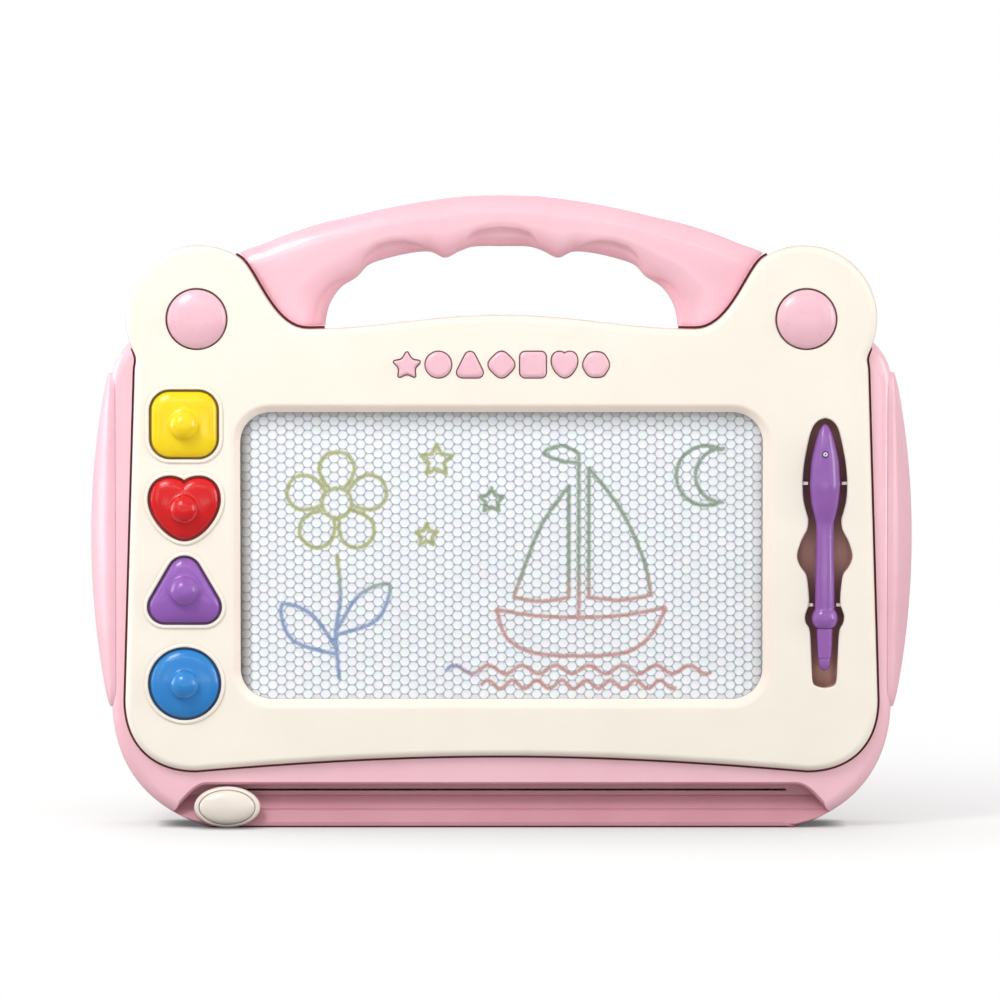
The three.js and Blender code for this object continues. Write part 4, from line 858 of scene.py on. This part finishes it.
# %% Front and rear shell
def half_body(name, keep):
    """A hollow body, of which only the part between two depths is kept."""
    layers = [*reversed(rounding(5.2, BODY_Y + 5.2, -1, 10)), *rounding(3, BACK_Y - 3, 1)]
    body = dressed(layered(name, shell_edge, layers), SHELL_FINISHES)
    inside = [(0, -11.8), (0, 13.8)]
    room = dressed(layered("room", grown(shell_edge, -2.4), inside), SHELL_FINISHES)

    def ears(size, steps, depths):
        return [layered("ear", moved(ellipse(size, size, steps), way * EAR_X, EAR_Z), depths)
                for way in (-1, 1)]

    carve(body, [*ears(50.4, 96, layers), handle("handle")], "UNION")
    carve(room, [*ears(45.6, 48, inside), handle("handle room", 2.2, 40, 10, 6)], "UNION")
    carve(room, [block("tray wall", (-160, 160), (-13, -3), (-2, 19.2))])
    carve(body, [room])
    carve(body, [block("half", (-170, 170), keep, (-5, 260))], "INTERSECT")
    return body


housing = half_body("front_shell", (-30, PARTING_Y - 0.15))
print("front shell", len(housing.data.polygons), "faces")

# %% [markdown]
# ## Cuts in the front shell
# A narrow groove around the fascia makes the seam that outlines it; its faces take the dark red of the
# shadowed gap, which paints the shade in it. The pen's pocket is a cup behind the fascia, and its floor is
# painted brown as the shade in it. The stem of the eraser runs in a slot. A thin bar closes the tray at the
# bottom, and its lowest strip is painted dark as the shade under its edge. A dark strip fills the joint
# between the fascia and the feet of the handle, as painted shade. It is dark only where it faces the front.

# %% Cut the front shell
cut(housing, pen_well, [(2.4, -12.5), (2.4, -8.4)], operation="UNION")
groove = dressed(layered("groove", edge, [(0.9, -16), (0.9, BODY_Y), (0.75, -12.9)]), SHELL_FINISHES)
cut(groove, edge, [(-1.2, -17), (-1.2, -12)], SEAM)
carve(housing, [groove], finish=SEAM)
cut(housing, pen_well, [(0.6, -16), (0.6, -11.4), (0.2, -10.6), (-0.6, -10.2)], POCKET)
cut(housing, moved(rounded_rectangle(253.5, 140, 12.2), -17.55, WINDOW_Z), [(0, -16), (0, -11)])
slot = block("slot", (-114.5, 114.5), (-8, 0), (14.0, 14.9))
carve(housing, [tray_cut(), slot], finish=TRAY)
# The lowest strip of the bar is painted dark, as the shade under its edge.
for low, high, finish in ((0, 0.7, SHADE_STRIP), (0.65, 2.2, TRAY)):
    bar_ends = [(-BASE_HALF + low, low), (BASE_HALF - low, low), (BASE_HALF - 3 - high, high),
                (-BASE_HALF + 3 + high, high)]
    cut(housing, bar_ends, [(0, -8), (0, -12.4), (-0.1, -12.5)], finish, "UNION")
# A dark strip at the feet of the handle, painted shade in the joint there.
near, far = grown(edge, 0.1), grown(edge, 1.05)
kept = [i for i, (x, z) in enumerate(near) if 70.4 < x < 106.4 and z > 195]
right_seam = [near[i] for i in kept] + [far[i] for i in reversed(kept)]
for outline in (right_seam, [(-x, z) for x, z in right_seam]):
    cut(housing, outline, [(0, -14.9), (0, -3)], SHADE_STRIP, "UNION")
for face in housing.data.polygons:
    if face.material_index == SHADE_STRIP and face.normal.y > -0.5:
        face.material_index = SHELL
finished(housing, "board", "front_housing")

# %% [markdown]
# ## The rear shell
# The back isn't in the photograph. It has what such a board has: a shallow flat recess, and deep
# round holes for the screws that join the two shells.

# %% Rear shell
right_screws = ((149.6, 150), (149.6, 56), (128, 26), (38.02, 240.01))
screws = [(way * x, z) for way in (-1, 1) for x, z in right_screws]
rear = half_body("rear_shell", (PARTING_Y + 0.15, 30))
bosses = [turned("boss", [(5, 2.15), (5, 14.5 if z < 200 else 11.9)], x, z, 32) for x, z in screws]
carve(rear, bosses, "UNION")
recess = layered("recess", moved(rounded_rectangle(235.2, 141.2, 12.2), 0, WINDOW_Z),
                 [(0.6, 18), (0, BACK_Y), (-0.5, 15.2)])
holes = [turned("screw hole", [(3.7, 7), (3.7, 15.6), (4.2, 16.2), (4.2, 20)], x, z, 32) for x, z in screws]
pilots = [turned("pilot", [(1.6, 1), (1.6, 8)], x, z, 16) for x, z in screws]
carve(rear, [recess, *holes, *pilots])
finished(rear, "board", "rear_cover")

# %% [markdown]
# ## The side grips
# A crescent sits on each side, in the body's pink made a little darker, which paints shade on it. Seen from
# the front it has a narrow bright land next to the body, and then a face that slopes away to the outer edge.

# %% Side grips
GRIP_Z, GRIP_HALF, GRIP_STEPS = 115.8, 67.2, 64


def side_grip(name, way):
    """The lip laps over the rounded edge of the body, and the face slopes back from it."""
    rows = []
    for i in range(GRIP_STEPS + 1):
        share = -cos(pi * i / GRIP_STEPS)
        swell = 1 - share * share
        tip = (1 - swell) ** 12
        outer = BODY_HALF + 1.4 + 7.2 * swell - 0.5 * tip
        front, back = -12.9 + 2.5 * tip, 12 - 5 * (1 - swell) ** 3
        slope = 9.5 * swell + 2.2
        root, lip, land = BODY_HALF - 2.6, BODY_HALF - 1.9 + 0.5 * tip, min(BODY_HALF + 0.5, outer - 0.6)
        half = [(root, 0), (lip - 0.4, front + 1.6), (lip - 0.1, front + 0.5), (lip + 0.4, front),
                (land - 0.5, front + 0.3)]
        half += [(land + (outer - land) * t, front + 0.7 + slope * t ** 1.6)
                 for t in (0, 0.12, 0.3, 0.5, 0.7, 0.86, 0.95, 1)]
        half += [(outer, back - slope), (outer - 0.2, back - slope * 0.85),
                 (land + (outer - land) * 0.5, back - slope * 0.4), (land, back), (root, back)]
        rows.append([(way * x, y, GRIP_Z + GRIP_HALF * share) for x, y in half])
    return dressed(skin(name, rows), [grip_pink_shade])


for name, way in (("left", -1), ("right", 1)):
    finished(side_grip(f"grip_{name}", way), "board", f"side_grip_{name}", sharp=28)

# %% [markdown]
# ## The eraser's knob
# The knob is an oval button: a rim with a shallow seat, and a separate glossy dome set into it. The
# fine line between the two is a real gap, and the dome is an oval that shrinks as it rises.

# %% Knob and dome
PARK_X, KNOB_Z, DOME_Y = -110.1, 8.5, -16.3
knob_edge, dome_edge = (moved(ellipse(*size, 96), PARK_X, KNOB_Z) for size in ((26.5, 16.4), (22.3, 13.7)))
knob = dressed(layered("knob_rim", knob_edge, [(-0.6, -13.1), (0, -13.7), *rounding(1.4, -15.3, -1)]),
               [cream_gloss])
bored(knob, dome_edge, 0.14, -14.9, -16.7, 0.3, finish=0)
finished(knob, "eraser", "slider_knob")
dome_rows = [(1, -15.2), (1, DOME_Y)]
dome_rows += [(cos(a), DOME_Y - 3.4 * sin(a) ** 0.9) for a in quarter(14)[1:]]
dome = dressed(shrunk("knob_dome", dome_edge, (PARK_X, KNOB_Z), dome_rows), [cream_gloss])
finished(dome, "eraser", "slider_cap")

# %% [markdown]
# ## The drawing
# The picture on the screen is magnetic powder that the pen pulled to the front of the cells. It is
# drawn here as a list of strokes, the way a hand would: a flower, a boat on waves, stars and a moon.
# A painted picture would be quicker, but strokes give each cell its own amount of powder.

# %% Strokes of the drawing
def line(*points, fine=10):
    return smooth([tuple(map(float, p)) for p in points], fine)


def straight(*points):
    path = []
    for a, b in zip(points, points[1:]):
        path += [a, *along(a, b, max(2, int(dist(a, b) / 1.5)))]
    return path


def petal(turn):
    half = [(31, 11), (26, 16), (13, 19.6)]
    shape = [(-27, 6.6), *((-a, r) for a, r in half), (0, 20.4), *reversed(half), (27, 6.6)]
    places = [(radians(turn + a), reach) for a, reach in shape]
    return line(*moved([(reach * cos(a), reach * sin(a)) for a, reach in places], *FLOWER), fine=6)


def waves(z, start, end):
    return [(start + (end - start) * i / 80, z + 1.7 * sin(i * 0.62)) for i in range(81)]


def outlined_star(x, z, size):
    corners = moved(star(size), x, z)
    return straight(*corners, corners[0])


FLOWER = (-66, 21)
strokes = [
    *(petal(90 + 72 * i) for i in range(5)),
    arc(*FLOWER, 6, 0, 360, 24),
    line((-66, 0), (-64.5, -16), (-66.5, -32), (-65, -50)),
    line((-66, -38), (-76, -24), (-88, -20), (-84, -34), (-66, -40)),
    line((-66, -30), (-57, -16), (-45, -12), (-50, -26), (-66, -32)),
    line((-2, -22), (2, -33), (12, -39), (30, -40.5), (50, -39), (60, -32), (66, -21)),
    line((-2, -22), (16, -24.5), (34, -25), (50, -24), (66, -21)),
    straight((31, -24), (31, 41)),
    line((35, 35), (48, 18), (57, -2), (60, -16)),
    line((60, -16), (48, -18), (35, -17)),
    straight((35, -17), (35, 35)),
    line((27, 28), (16, 12), (8, -8), (5, -17)),
    line((5, -17), (16, -18.5), (27, -17)),
    straight((27, -17), (27, 28)),
    line((31, 41), (24, 44), (17, 41), (24, 38), (31, 37)),
    waves(-46, -22, 84),
    waves(-52, -8, 70),
    arc(82, 32, 12, 60, 300, 26),
    arc(88.5, 32, 10.8, 88, 272, 20),
    *(outlined_star(*place) for place in ((-26, 38, 13), (-4, 22, 10), (-30, 8, 9))),
]
print("strokes", len(strokes), "points", sum(len(s) for s in strokes))

# %% [markdown]
# ## The powder
# Every point of the screen gets a colour from its distance to the nearest stroke. The strokes are
# first sorted into squares of 4 mm, so that each point only has to look at its own neighbourhood.

# %% Colour of every place on the screen
INK_GRID, INK_STEP, INK_HALF, INK_FADE, INK_DEPTH, INK_RAGGED = 4.0, 0.4, 0.98, 0.42, 0.86, 0.22
OLIVE, SKY, GREEN, BROWN = (150, 156, 66), (92, 124, 176), (96, 124, 90), (184, 116, 106)
ink_points = {}
for stroke in strokes:
    for a, b in zip(stroke, stroke[1:]):
        for p in [a, *along(a, b, max(1, int(dist(a, b) / INK_STEP)))][:-1]:
            ink_points.setdefault((int(p[0] // INK_GRID), int(p[1] // INK_GRID)), []).append(p)


def blend(first, second, share):
    return [a + (b - a) * share for a, b in zip(first, second)]


def ink_colour(x, z):
    """The powder has four colours, one for each part of the screen, which fade into each other."""
    right, low = clamp((x + 24) / 18), clamp((-4 - z) / 14)
    return blend(blend(OLIVE, GREEN, right), blend(SKY, BROWN, right), low)


def ink_amount(x, z):
    """How much powder lies at a place, from 0 to 1, with a slightly ragged edge."""
    gx, gz = int(x // INK_GRID), int(z // INK_GRID)
    near = [p for i in (-1, 0, 1) for j in (-1, 0, 1) for p in ink_points.get((gx + i, gz + j), ())]
    if not near:
        return 0.0
    distance = min(dist((x, z), p) for p in near)
    distance += INK_RAGGED * noise.noise(Vector((x * 0.9, z * 0.9, 3.1)))
    return clamp((INK_HALF - distance) / INK_FADE) * INK_DEPTH


print("ink cells", len(ink_points), "amount on the mast", round(ink_amount(31, 0), 2))

# %% [markdown]
# ## The screen
# The screen is a sheet of small six-sided cells filled with a white fluid, under a clear film. The
# cells could be a texture, but then they would lie flat in a close view. Here each cell has a wall
# and a sunken floor of its own, in one mesh. The frame of the window keeps light off the cells next
# to it, most at the left and the top, so their colour is darkened there.

# %% Build the cells
COLUMN_PITCH, ROW_PITCH, WALL_Y, FLOOR_Y, SPARE = 3.53, 3.72, -12.5, -12.25, 2.4
CORNER_TONE, WALL_TONE, FLOOR_TONE = (112, 118, 132), (192, 198, 207), (245, 248, 251)
RING, WALL_RINGS = 12, 4


def cell_rings():
    """Twelve points around a six-sided cell, and twelve around the rounded hollow inside it."""
    sixth = radians(60)
    corners = [(COLUMN_PITCH * 2 / 3 * cos(sixth * i), ROW_PITCH / 2 * sin(sixth * i) / sin(sixth))
               for i in range(6)]
    outer, inner = [], []
    for a, b in zip(corners, corners[1:] + corners[:1]):
        outer += [a, ((a[0] + b[0]) / 2, (a[1] + b[1]) / 2)]
    for x, z in outer:
        share = 0.55 * 0.9 + 0.45 * 1.7 / hypot(x, z)
        inner.append((x * share, z * share))
    return outer, inner


def under_brim(x, z):
    """How much light the frame of the window leaves on the screen near its edges."""
    down = 0.74 + 0.26 * clamp((WINDOW_H / 2 - z) / 10) ** 0.7
    across = clamp((x + WINDOW_W / 2) / 5) ** 1.5
    across *= 0.65 + 0.35 * clamp((WINDOW_W / 2 - x) / 4)
    return [down * (low + (1 - low) * across) for low in (0.52, 0.48, 0.45)]


def honeycomb():
    outer, inner = cell_rings()
    layers = [(outer, WALL_Y, WALL_TONE), (inner, WALL_Y, WALL_TONE)]
    for share, depth in ((0.96, 0), (0.96 * 0.66, 0.03), (0.96 * 0.33, 0.05)):
        layers.append(([(x * share, z * share) for x, z in inner], FLOOR_Y + depth, FLOOR_TONE))
    layers.append(([(0, 0)], FLOOR_Y + 0.06, FLOOR_TONE))
    points, faces, tones = [], [], []
    rows = int(WINDOW_H / ROW_PITCH / 2) + 2
    columns = int(WINDOW_W / COLUMN_PITCH / 2) + 1
    for c in range(-columns, columns + 1):
        for r in range(-rows, rows + 1):
            cx = c * COLUMN_PITCH
            cz = r * ROW_PITCH + (ROW_PITCH / 2 if c % 2 else 0)
            if abs(cx) > WINDOW_W / 2 + SPARE or abs(cz) > WINDOW_H / 2 + SPARE:
                continue
            start = len(points)
            shade = noise.noise(Vector((cx * 0.06, cz * 0.06, 0))) * 4
            tint = [shade + noise.noise(Vector((cx, cz, 9 * k))) * 7 for k in range(3)]
            for ring, y, tone in layers:
                for i, (x, z) in enumerate(ring):
                    px, pz = cx + x, cz + z
                    points.append((px, y, pz + WINDOW_Z))
                    plain = CORNER_TONE if ring is outer and i % 2 == 0 else tone
                    base = [t + u for t, u in zip(plain, tint)] if tone is FLOOR_TONE else plain
                    inked = blend(base, ink_colour(px, pz), ink_amount(px, pz))
                    tones.append([value * light for value, light in zip(inked, under_brim(px, pz))])
            floor = start + WALL_RINGS * RING
            for a in range(start, floor, RING):
                faces += [(a + i, a + (i + 1) % RING, a + RING + (i + 1) % RING, a + RING + i)
                          for i in range(RING)]
            faces += [(floor + i, floor + (i + 1) % RING, floor + RING) for i in range(RING)]
    return points, faces, tones


points, faces, tones = honeycomb()
mesh = bpy.data.meshes.new("screen_cells")
mesh.from_pydata([[v * MM for v in p] for p in points], [], faces)
powder = mesh.color_attributes.new("powder", "FLOAT_COLOR", "POINT")
for entry, tone in zip(powder.data, tones):
    entry.color = linear(*(min(max(t, 0), 255) for t in tone))
cells = placed("screen_cells", mesh)
print("cells", len(points) // ((WALL_RINGS + 1) * RING + 1), "faces", len(faces))

# %% [markdown]
# ## Material of the cells and the film
# The fluid shines a little through the film. The cells' own colour comes from the points of the
# mesh, and noise adds the speckle of loose powder. The film is nearly clear, so it is mostly
# transparent with a soft reflection.

# %% Screen materials
cell_fluid = plastic("cell fluid", (240, 243, 247), (236, 240, 245), (150, 160, 176), (0.3, 0.45),
                     (1600, 0.08), reach=0.6)
tree = cell_fluid.node_tree
speckle = noise_of(tree, 2400, 2, tree.nodes["Texture Coordinate"].outputs["Object"])
drawn = output(tree, "VertexColor", out="Color", layer_name="powder")
tinted = mixed_colour(tree, spread(tree, speckle, 0.9, 1.0), linear(205, 210, 216), drawn)
fill(tree, tree.nodes["Principled BSDF"], {"Base Color": tinted})
dressed(cells, [cell_fluid])
mesh.shade_smooth()
mesh.set_sharp_from_angle(angle=radians(50))
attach(cells, "board")
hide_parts("panel_honeycomb")
film, tree, shader = blank("clear film")
place = output(tree, "TexCoord", out="Object")
fill(tree, shader, {"Base Color": linear(250, 252, 255),
                    "Roughness": spread(tree, noise_of(tree, 60, 3, place), 0.1, 0.2),
                    "Alpha": spread(tree, noise_of(tree, 240, 5, place), 0.03, 0.08)})
dressed(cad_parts["panel_front_film"], [film])
print("screen dressed")

# %% [markdown]
# ## Floor and background
# The picture is a plain studio shot: a white floor that fades into a white background. The floor is darker
# near the board, in a narrow band at its foot and a wide faint one around it; this is painted shadow, from
# ambient occlusion in its colour. Further away it glows white. That glow and the white of the background are
# only for the camera, through Light Path, so that they add no light to the board.

# %% Floor and background
FLOOR_HALF, FLOOR_LIFT, GLOW_START, GLOW_END, WORLD_LEVEL = 3000, 0.54, 0.2, 0.42, 0.42
WHITE = (1, 1, 1, 1)


def combined(tree, operation, first, second):
    return output(tree, "Math", {0: first, 1: second}, operation=operation)


def white_floor():
    corners = [(-FLOOR_HALF, -FLOOR_HALF, 0), (FLOOR_HALF, -FLOOR_HALF, 0), (FLOOR_HALF, FLOOR_HALF, 0),
               (-FLOOR_HALF, FLOOR_HALF, 0)]
    floor = solid("studio_floor", corners, [(0, 1, 2, 3)])
    material, tree, shader = blank("studio floor")
    seen = output(tree, "LightPath", out="Is Camera Ray")
    place = output(tree, "TexCoord", out="Object")
    length = output(tree, "VectorMath", {0: place}, "Value", operation="LENGTH")
    far = combined(tree, "MULTIPLY", spread(tree, length, 0, 1, GLOW_START, GLOW_END), seen)
    # Painted shadow: the floor's colour darkens where the board stands close, at its foot and in a wide
    # faint band.
    foot, wide = openness(tree, 9, 0.3, 0.97, 0.25), openness(tree, 180, 0.5, 1.0, 0.76)
    near = combined(tree, "MULTIPLY", foot, wide)
    fill(tree, shader, {"Base Color": mixed_colour(tree, near, (0, 0, 0, 1), linear(188, 187, 186)),
                        "Roughness": 0.9, "Specular IOR Level": 0.0})
    lift = combined(tree, "MULTIPLY", combined(tree, "MULTIPLY", seen, near), FLOOR_LIFT)
    lifted = output(tree, "AddShader", {0: shader.outputs["BSDF"],
                                        1: output(tree, "Emission", {"Strength": lift})})
    glow = output(tree, "Emission", {"Color": WHITE})
    fill(tree, tree.nodes["Material Output"],
         {"Surface": output(tree, "MixShader", {0: far, 1: lifted, 2: glow})})
    dressed(floor, [material])


def white_world():
    """White to the camera and in reflections, and only as bright as its level on the pieces."""
    world = bpy.data.worlds.new("studio")
    bpy.context.scene.world = world
    world.use_nodes = True
    tree = world.node_tree
    rays = tree.nodes.new("ShaderNodeLightPath").outputs
    bounced = combined(tree, "MAXIMUM", rays["Is Glossy Ray"], rays["Is Transmission Ray"])
    strongest = combined(tree, "MAXIMUM", rays["Is Camera Ray"], bounced)
    strength = spread(tree, strongest, WORLD_LEVEL, 1, 0, 1)
    fill(tree, tree.nodes["Background"], {"Color": WHITE, "Strength": strength})


white_floor()
white_world()
print("floor and world ready")

# %% [markdown]
# ## Lamps
# Broad soft light comes from the upper left, as in the photograph. A long strip draws the highlight
# on the handle, fills on both sides open the shadows, and a low lamp reaches under the lip of the
# tray. A lamp behind the board keeps its back readable when it is turned around.

# %% Lamps
MIDDLE = (0, 0, 110)
lamps = [
    ("key light", (-520, -620, 860), (0, 0, 120), (420, 420), 5.7),
    ("strip light", (-100, -1150, 830), (0, 0, 200), (1500, 70), 1.9),
    ("left fill", (-1250, 60, 350), MIDDLE, (500, 700), 3),
    ("right fill", (1250, -320, 350), MIDDLE, (500, 700), 6),
    ("left rim light", (-1150, 380, 300), MIDDLE, (350, 900), 4.4),
    ("rear fill", (0, 1500, 620), MIDDLE, (900, 600), 4),
    ("low fill", (0, -1300, 70), MIDDLE, (1400, 110), 1.7),
    *((f"upright light {way}", (way * 900, -900, 420), MIDDLE, (90, 840), 0.9) for way in (-1, 1)),
]
for name, place, target, size, power in lamps:
    light = bpy.data.lights.new(name, "AREA")
    light.shape = "ELLIPSE" if name == "key light" else "RECTANGLE"
    light.size, light.size_y = (v * MM for v in size)
    light.energy = power
    made = placed(name, light)
    made.location = Vector(place) * MM
    made.rotation_euler = (Vector(target) * MM - made.location).to_track_quat("-Z", "Y").to_euler()
print("lamps", [name for name, *_ in lamps])

# %% [markdown]
# ## Camera
# The photograph is taken straight from the front with a very long lens, a little above the middle.
# The frame is square and 400 mm wide at the face of the board.

# %% Camera
LENS, SENSOR, FRAME_WIDTH, RISE = 300.0, 36.0, 400.0, 4.0
bpy.context.scene.view_settings.view_transform = "Standard"
camera_data = bpy.data.cameras.new("camera")
camera_data.lens = LENS
camera_data.sensor_width = SENSOR
camera = placed("camera", camera_data)
distance = FRAME_WIDTH * LENS / SENSOR
aim = Vector((-0.6, FACE_Y, 132.2))
tilt = radians(RISE)
camera.location = (aim + Vector((0, -cos(tilt), sin(tilt))) * distance) * MM
camera.rotation_euler = (pi / 2 - tilt, 0, 0)
bpy.context.scene.camera = camera
print("camera is", round(distance), "mm away")
